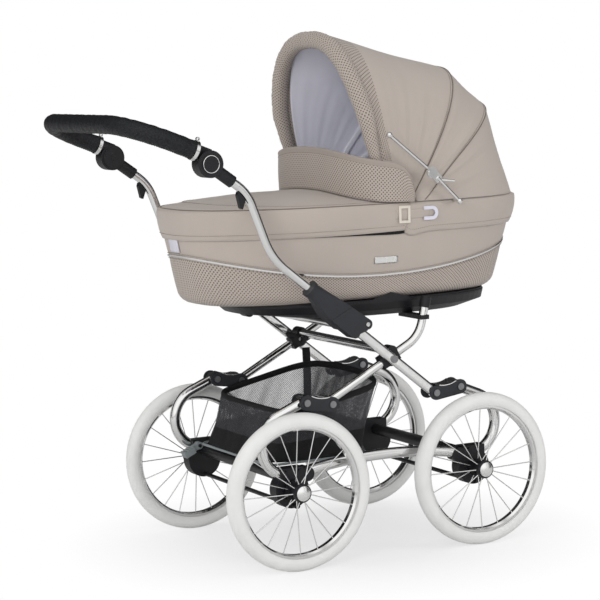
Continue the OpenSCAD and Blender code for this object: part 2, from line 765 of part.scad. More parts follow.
module button(left) {
    top = disc_gap / 2 + disc_w + 2.5;
    color("dimgray") mirror([0, left < 0 ? 1 : 0, 0]) at_hinge(tube_y, 0) translate([0, 0, -top]) {
        cylinder(r = button_r - 3, h = 5.5);
        difference() {
            translate([0, 0, 0.8]) cylinder(r = button_r, h = 4.7);
            translate([0, 0, -1]) cylinder(r = button_r - 3, h = 3);
        }
    }
}

module trigger(left) {
    color([0.1, 0.1, 0.1]) mirror([0, left < 0 ? 1 : 0, 0]) side_plane(tube_y + 6)
        translate([trigger_pos[0], trigger_pos[1], 0]) rotate(trigger_turn)
        linear_extrude(12) intersection() {
            polygon([[12, 6], [-14, 6], [-26, 31], [-20, 33], [5, 18]]);
            translate([0, tube_bend_b]) circle(r = tube_bend_b - tube_d / 2 - seat, $fn = 96);
        }
}

// Draws in the handlebar's plane: +X backwards and up from the hinges, +Y to the left
module in_bar_plane() {
    translate([hinge_pos[0], 0, hinge_pos[1]]) rotate([0, 180 + bar_slope, 0])
        translate([0, 0, -collar_lift]) children();
}

module grip() {
    start = collar_reach + ring_w + 0.4;
    leg = [bar_reach - bar_corner - start];
    legs = [leg, [bar_corner, -90], [2 * tube_y - 2 * bar_corner], [bar_corner, -90], leg];
    color([0.08, 0.08, 0.09]) in_bar_plane() translate([start, tube_y, 0]) tube_path(grip_d, legs);
}

module clamp_rings() {
    ring_r = grip_d / 2 + 1.5;
    loop_w = 5;
    rise = loop_r + 1;
    color("silver") in_bar_plane() both_sides() translate([collar_reach + 0.2, tube_y, 0]) {
        rotate([0, 90, 0]) cylinder(r = ring_r, h = ring_w);
        difference() {
            union() {
                translate([ring_w / 2, loop_w / 2, -ring_r - rise]) rotate([90, 0, 0])
                    cylinder(r = loop_r + 2, h = loop_w);
                translate([1, -loop_w / 2, -ring_r - rise]) cube([ring_w - 2, loop_w, rise + 3]);
            }
            translate([ring_w / 2, far / 2, -ring_r - rise]) rotate([90, 0, 0])
                cylinder(r = loop_r, h = far);
        }
    }
}

basket_foot = axle_z + basket_z;
basket_x = -136;
basket_a = 136;
basket_w = block_in - basket_gap;
basket_rim = link_in - rivet_head - seat;
basket_low = 114;
basket_rise = 28;
basket_arch = 14;
basket_taper = 7;
basket_lean = 43;
basket_n = 48;
basket_round = 0.35;
basket_wall = 3;
wire_d = 6;
wire_r = 30;

// A ring of the basket at a share h of its height, set in by a wall
function basket_ring(h, wall = 0) =
    let (a = basket_a - basket_taper * h - wall, b = basket_w + h * (basket_rim - basket_w) - wall)
    [for (i = [0:basket_n - 1])
        let (t = 360 * i / basket_n, x = a * spow(cos(t), basket_round), y = b * spow(sin(t), basket_round))
        [basket_x + basket_lean * h + x, y, basket_foot + h * basket_height(x / a, y / b) + wall * (1 - h)]];

// Height of the rim, low behind and arched high in front
function basket_height(u, v) = basket_low + basket_rise * (u + 1) + basket_arch * max(0, u) * (1 - v * v);

module basket() {
    color([0.1, 0.1, 0.1]) loft(concat(
        [for (h = [0:0.25:1]) basket_ring(h)],
        [for (h = [1:-0.25:0]) basket_ring(h, basket_wall)]));
}

module basket_wire() {
    half = basket_w - wire_d / 3;
    long = basket_a - wire_d / 3;
    side = 2 * (long - wire_r);
    end = 2 * (half - wire_r);
    bend = [wire_r, 90];
    loop = [[end / 2], bend, [side], bend, [end], bend, [side], bend, [end / 2]];
    color("gray") translate([basket_x + long, 0, basket_foot - wire_d / 2 - seat]) rotate(90)
        tube_path(wire_d, loop);
}

// Moulded base, shorter than the tub, whose lip rises in a hump over the tub's side amidships
base_x = tub_x(0) + 33;
base_a = tub_a(0) - 57;
lip_t = 2.2;
lip_drop = 4;
hump_x = 58;
hump_half = 78;
hump_h = 19;
function base_hump(x) = hump_h * pow(cos(90 * min(1, abs(x - hump_x) / hump_half)), 2);
function base_lip(out) = [for (q = plan_ring(base_x, base_a + out, tub_b(0) + 3 + out, tub_z - lip_drop))
    [q[0], q[1], q[2] + base_hump(q[0])]];

module carrycot_base() {
    color([0.14, 0.14, 0.15]) loft([
        plan_ring(base_x + 31, base_a - 93, tub_b(0) - 30, cot_z),
        plan_ring(base_x + 9, base_a - 11, tub_b(0) - 10, cot_z + 14),
        plan_ring(base_x, base_a, tub_b(0) + 2, tub_z - 2 * lip_drop),
        base_lip(0),
        base_lip(-lip_t),
        plan_ring(base_x, base_a - lip_t, tub_b(0) + 3 - lip_t, tub_z - seat)]);
}

// How far the tub's rounded foot draws in at a height
foot_r = 24;
function foot_in(up) = up > foot_r ? 0 : foot_r - sqrt(foot_r * foot_r - pow(foot_r - up, 2));

module tub() {
    floor_t = 14;
    color([0.67, 0.63, 0.58]) loft(concat(
        [for (up = [0, 0.1, 0.3, 0.6] * foot_r) tub_ring(up / tub_h, -foot_in(up))],
        [for (h = [0.11:0.1:0.91]) tub_ring(h)],
        [tub_ring(0.96), tub_ring(1, -3), tub_ring(1, -tub_wall + 3), tub_ring(0.96, -tub_wall)],
        [for (h = [0.8:-0.2:0.2]) tub_ring(h, -tub_wall)],
        [tub_ring(floor_t / tub_h, -tub_wall)]));
}

// Chrome strip that dips along each side of the tub
function trim_share(x) = 0.26 + 0.26 * pow((x - cot_x) / cot_a, 2);
function trim_point(i, out, up) =
    let (t = 360 * i / ring_n, x = spow(cos(t), 2 / round_n), y = spow(sin(t), 2 / round_n),
         h = trim_share(cot_x + cot_a * x) + up / tub_h)
    [tub_x(h) + (tub_a(h) + out) * x, (tub_b(h) + out) * y, tub_z + h * tub_h];

module trim_strip() {
    color("silver") closed_loft([for (i = [0:ring_n - 1])
        [trim_point(i, 0.6, 3), trim_point(i, 2.4, 2), trim_point(i, 2.4, -2), trim_point(i, 0.6, -3)]]);
}

module mattress() {
    low = tub_z + 14 + seat;
    high = 46;
    edge = tub_wall + 6;
    share = 30 / tub_h;
    color("whitesmoke") loft([
        plan_ring(tub_x(share), tub_a(0.1) - edge - 14, tub_b(0.1) - edge - 14, low),
        plan_ring(tub_x(share), tub_a(0.1) - edge - 2, tub_b(0.1) - edge - 2, low + high * 0.25),
        plan_ring(tub_x(share), tub_a(0.1) - edge, tub_b(0.1) - edge, low + high * 0.5),
        plan_ring(tub_x(share), tub_a(0.1) - edge - 8, tub_b(0.1) - edge - 8, low + high * 0.75),
        plan_ring(tub_x(share), tub_a(0.1) - edge - 60, tub_b(0.1) - edge - 50, low + high * 0.92),
        plan_ring(tub_x(share), tub_a(0.1) * 0.5, tub_b(0.1) * 0.4, low + high)]);
}

// A plan ring of the cover that laps the rim: set out by a distance, at a height
function rim_ring(out, z, h = 1) = plan_ring(tub_x(h), tub_a(h) + out, tub_b(h) + out, z);
band_share = (tub_h - band_h) / tub_h;
band_out = lap + cloth + 2;

// Half width over the band at a place along it
function band_y(x) =
    (cot_b + band_out) * pow(1 - pow(abs(x - cot_x) / (cot_a + band_out), round_n), 1 / round_n);

// Solid that the band, apron and flap are cut from: skirt and domed top, set in by a wall
module cover_form(wall) {
    loft(concat(
        [rim_ring(lap + cloth - wall - 1, band_z - (wall > 0 ? 1 : 0), band_share)],
        [rim_ring(lap + cloth + 3 - wall, band_z + band_h * 0.45, 0.92)],
        [rim_ring(lap + cloth + 2 - wall, rim_z + 2 - wall * 0.5)],
        [for (k = [0.97, 0.85, 0.65, 0.4, 0.1])
            plan_ring(cot_x, (cot_a + cloth - wall) * k, (cot_b + cloth - wall) * k,
                      rim_z + 6 + dome * (1 - k * k) - wall * 0.6)]));
}

module apron() {
    color([0.68, 0.64, 0.59]) intersection() {
        difference() {
            cover_form(0);
            cover_form(cloth);
            flap_cut();
        }
        translate([-far, -far / 2, 0]) cube([far + front_edge, far, 2 * far]);
    }
}

// Plan of the wind flap: an oval bow, its ends forward at the rim
flap_x = 118;
flap_a = 172;
flap_n = 3.6;
flap_t = 8;
flap_flare = 5;
flap_drop = 10;
flap_foot = 12;
foot_gap = 0.5;
flap_b = cot_b + lap + cloth + 13;
function flap_at(t, out) = [flap_x - (flap_a + out) * spow(cos(t), 2 / flap_n),
                            (flap_b + out) * spow(sin(t), 2 / flap_n)];

// Height of the domed cover above a point of its plan
dome = 26;
function cover_z(p) =
    let (x = abs(p[0] - cot_x) / (cot_a + cloth), y = abs(p[1]) / (cot_b + cloth),
         k = pow(pow(x, round_n) + pow(y, round_n), 1 / round_n))
    rim_z + 6 + dome * (1 - min(1.06, k) * min(1.06, k));

// What lies in front of the flap, where the apron is open
module flap_cut() {
    m = 24;
    edge = cot_b - 12;
    translate([0, 0, rim_z - 8]) linear_extrude(far) polygon(concat(
        [for (i = [-m:m]) let (p = flap_at(89 * i / m, -6)) [p[0], max(-edge, min(edge, p[1]))]],
        [[far, edge], [far, -edge]]));
}

// One section of the flap at a turn t of its bow, v of the way to an end, flared outwards there
function flap_ring(t, v) =
    let (flare = flap_flare * pow(v, 3),
         low = max(cover_z(flap_at(t, 0)), cover_z(flap_at(t, -flap_t))) + foot_gap,
         high = (flap_h - flap_drop * v * v) * pow(1 - pow(v, 14), 0.5) + flap_foot)
    [for (q = [[0, 0], [-flap_t, 0], [flare * 0.6 - flap_t - 2, 0.5], [flare - flap_t + 1, 0.96],
               [flare - flap_t / 2, 1], [flare, 0.96], [flare * 0.6, 0.5]])
        let (p = flap_at(t, q[0])) [p[0], p[1], low + high * q[1]]];

// Upright band with flared, rounded ends
module wind_flap() {
    m = 28;
    color([0.66, 0.62, 0.56]) loft([for (i = [m:-1:-m]) flap_ring(88.5 * i / m, abs(i / m))]);
}

module rim_band() {
    color([0.67, 0.63, 0.58]) intersection() {
        difference() {
            cover_form(0);
            cover_form(cloth);
            translate([0, 0, rim_z + 4]) cylinder(r = far, h = far);
        }
        translate([front_edge + 1, -far / 2, 0]) cube([far, far, 2 * far]);
    }
}

// Buckle frames and clips where the apron meets the band
module side_buckles() {
    z = rim_z - 24;
    thick = 3;
    buckle = hood_x - 42;
    clip = hood_x + 26;
    loop_r = 16;
    loop_l = 22;
    color("gainsboro") both_sides() {
        side_plane(band_y(buckle) + thick + 0.5) difference() {
            translate([buckle, z - 20, 0]) cube([30, 40, thick]);
            translate([buckle + 6, z - 14, -1]) cube([18, 28, 6]);
        }
        side_plane(band_y(clip) + thick + 0.5) difference() {
            union() {
                translate([clip, z - loop_r, 0]) cube([loop_l, 2 * loop_r, thick]);
                translate([clip + loop_l, z, 0]) cylinder(r = loop_r, h = thick);
            }
            translate([clip - 1, z - loop_r / 2, -1]) cube([loop_l + 1, loop_r, thick + 2]);
            translate([clip + loop_l, z, -1]) cylinder(r = loop_r / 2, h = thick + 2);
        }
    }
}

// Hood: arches about the pivots' line, at an angle from the front rim, straight from bow to bow
function chord(r1, a1, r2, a2, a) = r1 * r2 * sin(a2 - a1) / (r1 * sin(a - a1) + r2 * sin(a2 - a));
function hood_reach(a) =
    a < back_angle ? chord(hood_back, 0, back_reach, back_angle, a) :
    a < mid_angle ? chord(back_reach, back_angle, mid_reach, mid_angle, a) :
    chord(mid_reach, mid_angle, roll_reach, roll_lean, a);
function hood_foot(a) = a < mid_angle ? 0 : -hood_draw * (a - mid_angle) / (roll_lean - mid_angle);
function hood_b(a) = cot_b - 8 + 12 * max(0, 1 - a / mid_angle);
function hood_point(a, t, inset = 0, b = 0) =
    let (n = 2.5, r = (hood_reach(a) - inset) * spow(sin(t), 2 / n),
         y = (hood_b(a) + b - inset) * spow(cos(t), 2 / n))
    [hood_x + hood_foot(a) * (1 - pow(abs(sin(t)), 2)) + r * cos(a), y, hood_z + r * sin(a)];

hood_steps = 12;
arch_steps = 30;
function hood_angle(j) = 0.2 + (roll_lean - 0.2) * j / hood_steps;
function arch_turn(i) = 0.6 + 178.8 * i / arch_steps;

module hood_canopy() {
    rows = [for (j = [0:hood_steps]) concat(
        [for (i = [0:arch_steps]) hood_point(hood_angle(j), arch_turn(i))],
        [for (i = [arch_steps:-1:0]) hood_point(hood_angle(j), arch_turn(i), cloth)])];
    color([0.68, 0.64, 0.59]) ribbon_loft([for (j = [hood_steps:-1:0]) rows[j]]);
}

roll_inset = 8;
roll_spread = 22;
roll_gap = 2;
roll_taper = 200;

// Half width over the roll at a height well above its feet
function roll_side(z) =
    let (n = 2.5, rise = (z - hood_z) / sin(roll_lean) / (roll_reach - roll_inset))
    (hood_b(roll_lean) + roll_spread - roll_inset) * pow(1 - pow(rise, n), 1 / n) + roll_d / 2;

// How much the roll draws in towards its feet: 1 at a foot, 0 well above it
function foot_share(z) = max(0, 1 - (z - hood_z) / roll_taper);

// A padded tube along the canopy's front arch, thinner and closer at its feet
module hood_roll() {
    sides = 12;
    last = 40;
    side = [cos(roll_lean + 90), 0, sin(roll_lean + 90)];
    arch = [for (i = [0:last]) hood_point(roll_lean, 2.5 + 175 * i / last, roll_inset, roll_spread)
        + (roll_d / 2 + roll_gap) * side];
    path = [for (q = arch) [q[0], q[1] * (1 - 0.17 * foot_share(q[2])), q[2]]];
    lean = [cos(roll_lean), 0, sin(roll_lean)];
    color([0.66, 0.62, 0.56]) loft([for (i = [0:last])
        let (back = path[max(0, i - 1)], next = path[min(last, i + 1)],
             dir = (next - back) / norm(next - back), up = cross(dir, cross(lean, dir)),
             out = up / norm(up), wide = cross(dir, out),
             r = roll_d / 2 * (1 - 0.7 * foot_share(path[i][2])))
        [for (k = [0:sides - 1]) path[i]
            + r * (cos(360 * k / sides) * out + sin(360 * k / sides) * wide)]]);
}

// Hood stays, in the side plane
stay_rear = [hood_x + 113, rim_z];
stay_knee = [hood_x + 41, rim_z + 70];
stay_front = [hood_x - 72, rim_z + 160];
stay_d = 8;
ball_d = 14;
knee_t = 2.8;
knee_r = 14;
knee_clear = 18;
function past_knee(to) = stay_knee + knee_clear * (to - stay_knee) / norm(to - stay_knee);
function stay_turn(from, to) = atan2(to[1] - from[1], to[0] - from[0]);
stud_front = stay_y - roll_side(stay_front[1] + 6) - seat;
stud_rear = stay_y - band_y(stay_rear[0] - stay_d / 2) - seat;

// A rod between two points of the side plane
module stay_rod(from, to, d = stay_d) {
    translate([from[0], from[1], 0]) rotate(stay_turn(from, to)) rotate([0, 90, 0])
        cylinder(d = d, h = norm(to - from));
}

module front_stays() {
    color("silver") both_sides() side_plane(stay_y) {
        stay_rod(past_knee(stay_front), stay_front);
        translate([stay_front[0], stay_front[1], 0]) sphere(d = ball_d);
        translate([stay_front[0], stay_front[1], 0]) cylinder(d = stay_d, h = stud_front);
        translate([stay_knee[0], stay_knee[1], -knee_t - 0.1]) {
            cylinder(r = knee_r - 4, h = knee_t);
            rotate(stay_turn(stay_knee, stay_front)) translate([0, -3, 0]) cube([knee_clear + 6, 6, knee_t]);
        }
    }
}

module rear_stays() {
    lever = stay_knee + [58, -22];
    rear_knee = past_knee(stay_rear);
    color("silver") both_sides() side_plane(stay_y) difference() {
        union() {
            stay_rod(stay_rear, rear_knee);
            translate([stay_rear[0], stay_rear[1], 0]) sphere(d = ball_d);
            translate([stay_rear[0], stay_rear[1], 0]) cylinder(d = stay_d, h = stud_rear);
            translate([stay_knee[0], stay_knee[1], 0.1]) {
                cylinder(r = knee_r, h = knee_t);
                rotate(stay_turn(stay_knee, stay_rear)) translate([0, -10, 0])
                    cube([knee_clear + 10, 20, knee_t]);
            }
            stay_rod(lever, rear_knee + 0.08 * (stay_rear - stay_knee), stay_d - 2);
        }
        translate([stay_knee[0], stay_knee[1], -far]) cylinder(r = knee_clear - 1, h = far + 0.05);
    }
}

tyre(1, 1);  // tyre_fl
rim(1, 1);  // rim_fl
hub(1, 1);  // hub_fl
hub_cap(1, 1);  // hub_cap_fl
tyre(1, -1);  // tyre_fr
rim(1, -1);  // rim_fr
hub(1, -1);  // hub_fr
hub_cap(1, -1);  // hub_cap_fr
tyre(-1, 1);  // tyre_rl
rim(-1, 1);  // rim_rl
hub(-1, 1);  // hub_rl
hub_cap(-1, 1);  // hub_cap_rl
tyre(-1, -1);  // tyre_rr
rim(-1, -1);  // rim_rr
hub(-1, -1);  // hub_rr
hub_cap(-1, -1);  // hub_cap_rr
spring_frames();
axle_stubs();
axle_blocks();
cross_tubes();
brake_shaft();
brake_pedal();
links(-1);  // rear_links
link_saddles(-1);  // rear_link_saddles
link_pins(-1);  // rear_link_pins
links(1);  // front_links
link_saddles(1);  // front_link_saddles
link_pins(1);  // front_link_pins
rear_arms();
upright_caps();
pivot_blocks();
pivot_pins();
handle_arms();
hinge_housings();
handle_tubes();
lock_sleeve(1);  // lock_sleeve_left
lock_sleeve(-1);  // lock_sleeve_right
hinge_sleeves();
trigger(1);  // trigger_left
trigger(-1);  // trigger_right
hinge_discs();
grip();
clamp_rings();
button(1);  // button_left
button(-1);  // button_right
basket();
basket_wire();
carrycot_base();
tub();
trim_strip();
mattress();
apron();
wind_flap();
rim_band();
side_buckles();
hood_roll();
hood_canopy();
front_stays();
rear_stays();
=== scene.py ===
# %% [markdown]
# # A bassinet pram, dressed
#
# The frame of this pram is already built: wheels, C springs, folding arms, hinges and handle come in
# as exact solids, each on the body that carries it. This lesson dresses that frame. Metal and
# moulded parts keep their shape and get a finish. Every soft part, the tub, apron, wind flap, hood,
# basket and grip, is made again here as a surface worked out with numpy.

# %% Load the frame
import math

import bmesh
import bpy
import numpy as np
from mathutils import Matrix, Vector


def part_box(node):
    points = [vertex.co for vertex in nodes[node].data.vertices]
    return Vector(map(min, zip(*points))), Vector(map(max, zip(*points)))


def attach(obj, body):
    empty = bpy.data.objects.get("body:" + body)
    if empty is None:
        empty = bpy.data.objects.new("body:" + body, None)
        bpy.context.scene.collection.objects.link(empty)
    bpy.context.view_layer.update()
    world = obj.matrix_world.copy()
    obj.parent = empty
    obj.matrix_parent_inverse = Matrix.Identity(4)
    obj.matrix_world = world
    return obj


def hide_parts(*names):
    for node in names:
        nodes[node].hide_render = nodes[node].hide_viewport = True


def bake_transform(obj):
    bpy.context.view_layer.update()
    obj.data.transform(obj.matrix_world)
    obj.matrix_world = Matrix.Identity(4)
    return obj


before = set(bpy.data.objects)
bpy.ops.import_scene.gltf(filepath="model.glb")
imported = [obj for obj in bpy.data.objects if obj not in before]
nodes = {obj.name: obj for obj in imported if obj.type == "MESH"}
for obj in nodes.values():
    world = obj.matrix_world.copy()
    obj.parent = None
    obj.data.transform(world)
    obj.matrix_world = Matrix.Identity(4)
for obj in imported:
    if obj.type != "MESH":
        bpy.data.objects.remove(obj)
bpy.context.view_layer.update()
scene = bpy.context.scene
scene.view_settings.view_transform = "Standard"

# %% [markdown]
# ## The camera
#
# A photographer would stand the camera about five metres off with a long lens, a little above the
# handle. A pinhole camera needs a place, a direction and a focal length. The direction is built from
# azimuth and elevation, and a small roll tips the horizon, as in a picture taken by hand.

# %% Camera
CAMERA_PLACE = (-2.4436, -4.4300, 1.1339)
CAMERA_AZIMUTH, CAMERA_ELEVATION, CAMERA_ROLL = np.radians([-28.07, 6.32, -1.47])
FOCAL_LENGTH, SENSOR = 127.99, 36.0


def camera_axes(azimuth, elevation, roll):
    """Right, up and back of a camera. Back points from the object to the lens, and right is level
    until the camera is rolled about back."""
    back = Vector((math.sin(azimuth) * math.cos(elevation), -math.cos(azimuth) * math.cos(elevation),
                   math.sin(elevation)))
    right = Vector((0, 0, 1)).cross(back).normalized()
    up = back.cross(right)
    turned = math.cos(roll) * right + math.sin(roll) * up
    return turned, back.cross(turned), back


lens = bpy.data.cameras.new("camera")
lens.lens, lens.sensor_width = FOCAL_LENGTH, SENSOR
camera = bpy.data.objects.new("camera", lens)
axes = camera_axes(CAMERA_AZIMUTH, CAMERA_ELEVATION, CAMERA_ROLL)
camera.matrix_world = Matrix.Translation(CAMERA_PLACE) @ Matrix(axes).transposed().to_4x4()
scene.collection.objects.link(camera)
scene.camera = camera
print("camera at", CAMERA_PLACE)

# %% [markdown]
# ## Finishes
#
# Each finish is a Principled surface with a few nodes in front of it. Patterns are measured in metres:
# on Object coordinates for moulded and metal parts, and on the surface's own UV map for cloth, because
# a UV map made from arc lengths lets a print follow the cloth round a bend. One function adds a node,
# and another turns a screen colour into the linear light that the renderer works with.

# %% Nodes and colours
def add_node(tree, kind, values=(), **settings):
    """Adds a node. values fills its inputs by place: a socket is linked, a number set, None left."""
    made = tree.nodes.new("ShaderNode" + kind)
    for key, value in settings.items():
        setattr(made, key, value)
    for place, value in enumerate(values):
        if isinstance(value, bpy.types.NodeSocket):
            tree.links.new(value, made.inputs[place])
        elif value is not None:
            made.inputs[place].default_value = value
    return made


def sRGB(red, green, blue):
    """The linear colour of a screen colour from 0 to 255: ((c + 0.055) / 1.055) ** 2.4."""
    share = np.array([red, green, blue]) / 255
    linear = np.where(share > 0.04, ((share + 0.055) / 1.055) ** 2.4, share / 12.92)
    return tuple(float(c) for c in linear)


print("mid grey on the screen is", round(sRGB(128, 128, 128)[0], 3), "as light")

# %% [markdown]
# ### One class for all finishes
#
# A finish owns its material. Each of its methods adds a node or two and hands back a socket, so that
# a recipe can feed one into the next: a noise into a range, and the range into the roughness.

# %% The class for finishes
class Finish:
    """A Principled material, with short ways to add the nodes that vary it."""

    def __init__(self, name, colour, roughness, **sockets):
        self.material = bpy.data.materials.new(name)
        self.material.use_nodes = True
        self.tree = self.material.node_tree
        self.surface = self.tree.nodes["Principled BSDF"]
        self.colour = colour
        self.surface.inputs["Base Color"].default_value = (*colour, 1)
        self.surface.inputs["Roughness"].default_value = roughness
        for socket, value in sockets.items():
            self.surface.inputs[socket.replace("_", " ")].default_value = value
        self.coordinates = self.node("TexCoord")

    def node(self, kind, values=(), **settings):
        return add_node(self.tree, kind, values, **settings)

    def place(self, kind="Object", scale=(1, 1, 1), turn=(0, 0, 0)):
        """Coordinates of a kind, turned and scaled."""
        return self.node("Mapping", [self.coordinates.outputs[kind], None, turn, scale]).outputs[0]

    def texture(self, kind, where, output, sockets, **settings):
        """One output of a texture node, with its sockets set by name."""
        made = self.node("Tex" + kind, [where], **settings)
        for socket, value in sockets.items():
            made.inputs[socket].default_value = value
        return made.outputs[output]

    def noise(self, where, scale, detail=3.0):
        return self.texture("Noise", where, "Fac", {"Scale": scale, "Detail": detail})

    def pebbles(self, scale):
        """Leather grain: the smoothed distance to the nearest of many scattered points."""
        return self.texture("Voronoi", self.place(), "Distance", {"Scale": scale}, feature="SMOOTH_F1")

    def ribs(self, direction, scale):
        """Parallel ribs on the UV map, one after another along X or Y."""
        return self.texture("Wave", self.place("UV"), "Fac", {"Scale": scale}, bands_direction=direction)

    def off_middle(self, pitch):
        """Distance to the middle of a cell, on a diamond grid over the UV map: turn the map by 45
        degrees, divide it by the pitch, and the fraction left over is the place within one cell."""
        cell = self.place("UV", (1 / pitch, 1 / pitch, 1), (0, 0, math.pi / 4))
        within = self.node("VectorMath", [cell], operation="FRACTION").outputs[0]
        return self.node("VectorMath", [within, (0.5, 0.5, 0)], operation="DISTANCE").outputs["Value"]

    def spread(self, value, low, high, to_low, to_high):
        """Maps a value from one range to another, held at the ends."""
        return self.node("MapRange", [value, low, high, to_low, to_high]).outputs[0]

    def mix(self, share, one, other):
        """Colour one where share is 0 and the other where it is 1. A Mix node keeps its colours at the
        places 6 and 7, after those for numbers and vectors, and their mix at output 2."""
        colours = [c if isinstance(c, bpy.types.NodeSocket) else (*c, 1) for c in (one, other)]
        return self.node("Mix", [share] + [None] * 5 + colours, data_type="RGBA").outputs[2]

    def into(self, socket, value):
        self.tree.links.new(value, self.surface.inputs[socket])

    def bump(self, height, distance, strength):
        """Stands a height field proud by up to distance, on top of any bump that is there already."""
        made = self.node("Bump")
        made.inputs["Strength"].default_value = strength
        made.inputs["Distance"].default_value = distance
        self.tree.links.new(height, made.inputs["Height"])
        before = self.surface.inputs["Normal"].links
        if before:
            self.tree.links.new(before[0].from_socket, made.inputs["Normal"])
        self.into("Normal", made.outputs[0])

    def shades(self, share, amount):
        """Darkens and lightens the finish's own colour by an amount, following a share from 0 to 1."""
        dark = tuple(c * (1 - amount) for c in self.colour)
        light = tuple(min(1.0, c * (1 + amount)) for c in self.colour)
        colour = self.mix(share, dark, light)
        self.into("Base Color", colour)
        return colour


print("ways to vary a finish:", ", ".join(name for name in vars(Finish) if not name.startswith("_")))

# %% [markdown]
# ### Metal and moulded plastic
#
# Chrome on a pram is never a perfect mirror: it has faint smears. A scratched picture could show
# them, but slow changes of roughness from a noise are enough, and they never repeat. Moulded plastic
# has a fine spark texture all over, which is a bump too small to be seen grain by grain.

# %% Metal and plastic
def chrome(name, colour, smooth, rough):
    """Plated metal whose roughness drifts between two values in slow smears."""
    finish = Finish(name, colour, smooth, Metallic=1.0)
    smears = finish.noise(finish.place(scale=(1, 1, 0.4)), scale=38.0, detail=4.0)
    finish.into("Roughness", finish.spread(smears, 0.35, 0.7, smooth, rough))
    finish.bump(finish.noise(finish.place(), scale=90.0), distance=0.0002, strength=0.25)
    return finish.material


def moulded(name, colour, roughness, grain=1400.0):
    """Injection-moulded plastic: spark texture as fine bump, and a slow drift of shade."""
    finish = Finish(name, colour, roughness, Specular_IOR_Level=0.35)
    where = finish.place()
    finish.shades(finish.noise(where, scale=22.0), amount=0.22)
    spark = finish.noise(where, grain, detail=2.0)
    finish.into("Roughness", finish.spread(spark, 0.3, 0.7, roughness - 0.06, roughness + 0.1))
    finish.bump(spark, distance=0.0003, strength=0.35)
    return finish.material


chrome_tube = chrome("chrome_tube", (0.83, 0.825, 0.82), 0.07, 0.17)
satin_cap = chrome("satin_cap", (0.88, 0.88, 0.87), 0.22, 0.34)
dark_steel = chrome("dark_steel", (0.30, 0.30, 0.31), 0.30, 0.45)
black_plastic = moulded("black_plastic", sRGB(27, 27, 30), 0.42)
charcoal_plastic = moulded("charcoal_plastic", sRGB(43, 44, 48), 0.46)
grey_plastic = moulded("grey_plastic", sRGB(128, 134, 136), 0.5)
black_paint = moulded("black_paint", sRGB(30, 30, 32), 0.32, 500.0)
pale_plastic = moulded("pale_plastic", sRGB(205, 203, 212), 0.35)
print("metal and plastic finishes:", len(bpy.data.materials))

# %% [markdown]
# ### Rubber and buckles
#
# White tyres are satin rubber, a little greyer where dust gathers. The side buckles are one solid in
# two colours. Cutting it in two would part it from the frame, so its finish changes at a place along x.

# %% Rubber and buckles
LOOP_FROM = 0.112
CREAM, PALE_LILAC = sRGB(216, 208, 196), sRGB(214, 212, 224)


def tyre_rubber():
    """Satin white rubber with a faint mottle and a fine skin."""
    finish = Finish("white_rubber", sRGB(226, 226, 224), 0.45)
    where = finish.place()
    mottle = finish.noise(where, scale=17.0, detail=5.0)
    finish.shades(finish.spread(mottle, 0.3, 0.7, 0.0, 1.0), amount=0.035)
    finish.into("Roughness", finish.spread(finish.noise(where, scale=60.0), 0.3, 0.7, 0.36, 0.52))
    finish.bump(finish.noise(where, scale=800.0), distance=0.0002, strength=0.3)
    return finish.material


def buckle_and_loop():
    """Cream enamel for the buckle, pale plastic for the loop ahead of it: the share is a step along x."""
    finish = Finish("buckle_and_loop", CREAM, 0.3)
    along = finish.node("SeparateXYZ", [finish.place()]).outputs["X"]
    loop = finish.spread(along, LOOP_FROM - 0.001, LOOP_FROM + 0.001, 0.0, 1.0)
    finish.into("Base Color", finish.mix(loop, CREAM, PALE_LILAC))
    return finish.material


white_rubber = tyre_rubber()
buckle_metal = buckle_and_loop()
print("hard finishes:", len(bpy.data.materials))

# %% [markdown]
# ### Leatherette
#
# The upholstery is one greige leatherette in two prints: plain, and with rows of small dark dots set
# in a diamond. The dots could be a picture, but a formula on the UV map keeps them sharp from near by:
# where the distance to a cell's middle is small, there is a dot.

# %% Leatherette
GREIGE, DOT_BROWN = sRGB(178, 168, 160), sRGB(98, 84, 75)
DOT_PITCH, DOT_SIZE, DOT_EDGE = 0.0058, 0.27, 0.08


def leather_skin(finish):
    """Adds a leather's skin: pebbled grain, soft creases and a drift of shade. Returns the colour."""
    finish.bump(finish.pebbles(scale=620.0), distance=0.00025, strength=0.5)
    where = finish.place()
    finish.bump(finish.noise(where, scale=26.0, detail=2.0), distance=0.0016, strength=0.3)
    return finish.shades(finish.noise(where, scale=9.0), amount=0.05)


def plain_leather(name="greige_leather", colour=GREIGE):
    finish = Finish(name, colour, 0.55, Sheen_Weight=0.12, Specular_IOR_Level=0.35)
    leather_skin(finish)
    return finish.material


def dotted_leather():
    """Greige leather with a diamond grid of punched dots."""
    finish = Finish("dotted_leather", GREIGE, 0.58, Sheen_Weight=0.12, Specular_IOR_Level=0.3)
    base = leather_skin(finish)
    off = finish.off_middle(DOT_PITCH)
    dot = finish.spread(off, DOT_SIZE - DOT_EDGE, DOT_SIZE + DOT_EDGE, 1.0, 0.0)
    finish.into("Base Color", finish.mix(dot, base, DOT_BROWN))
    proud = finish.node("Math", [1.0, dot], operation="SUBTRACT").outputs[0]
    finish.bump(proud, distance=0.0005, strength=0.6)
    return finish.material


greige_leather = plain_leather()
binding_leather = plain_leather("binding_leather", sRGB(160, 150, 142))
seam_leather = plain_leather("seam_leather", sRGB(118, 108, 100))
bow_tape = plain_leather("bow_tape", sRGB(228, 228, 236))
dotted = dotted_leather()
print("with leatherette:", len(bpy.data.materials), "finishes")

# %% [markdown]
# ### Cloth, net and grip leather
#
# The lining is pale cotton, whose weave is two crossed waves. The net is made as the dots are, with a
# hole in place of the dot: threads could be modelled, but there would be tens of thousands of them.
# Webbing has ribs across it, and the grip's leather is shinier on top of its grain.

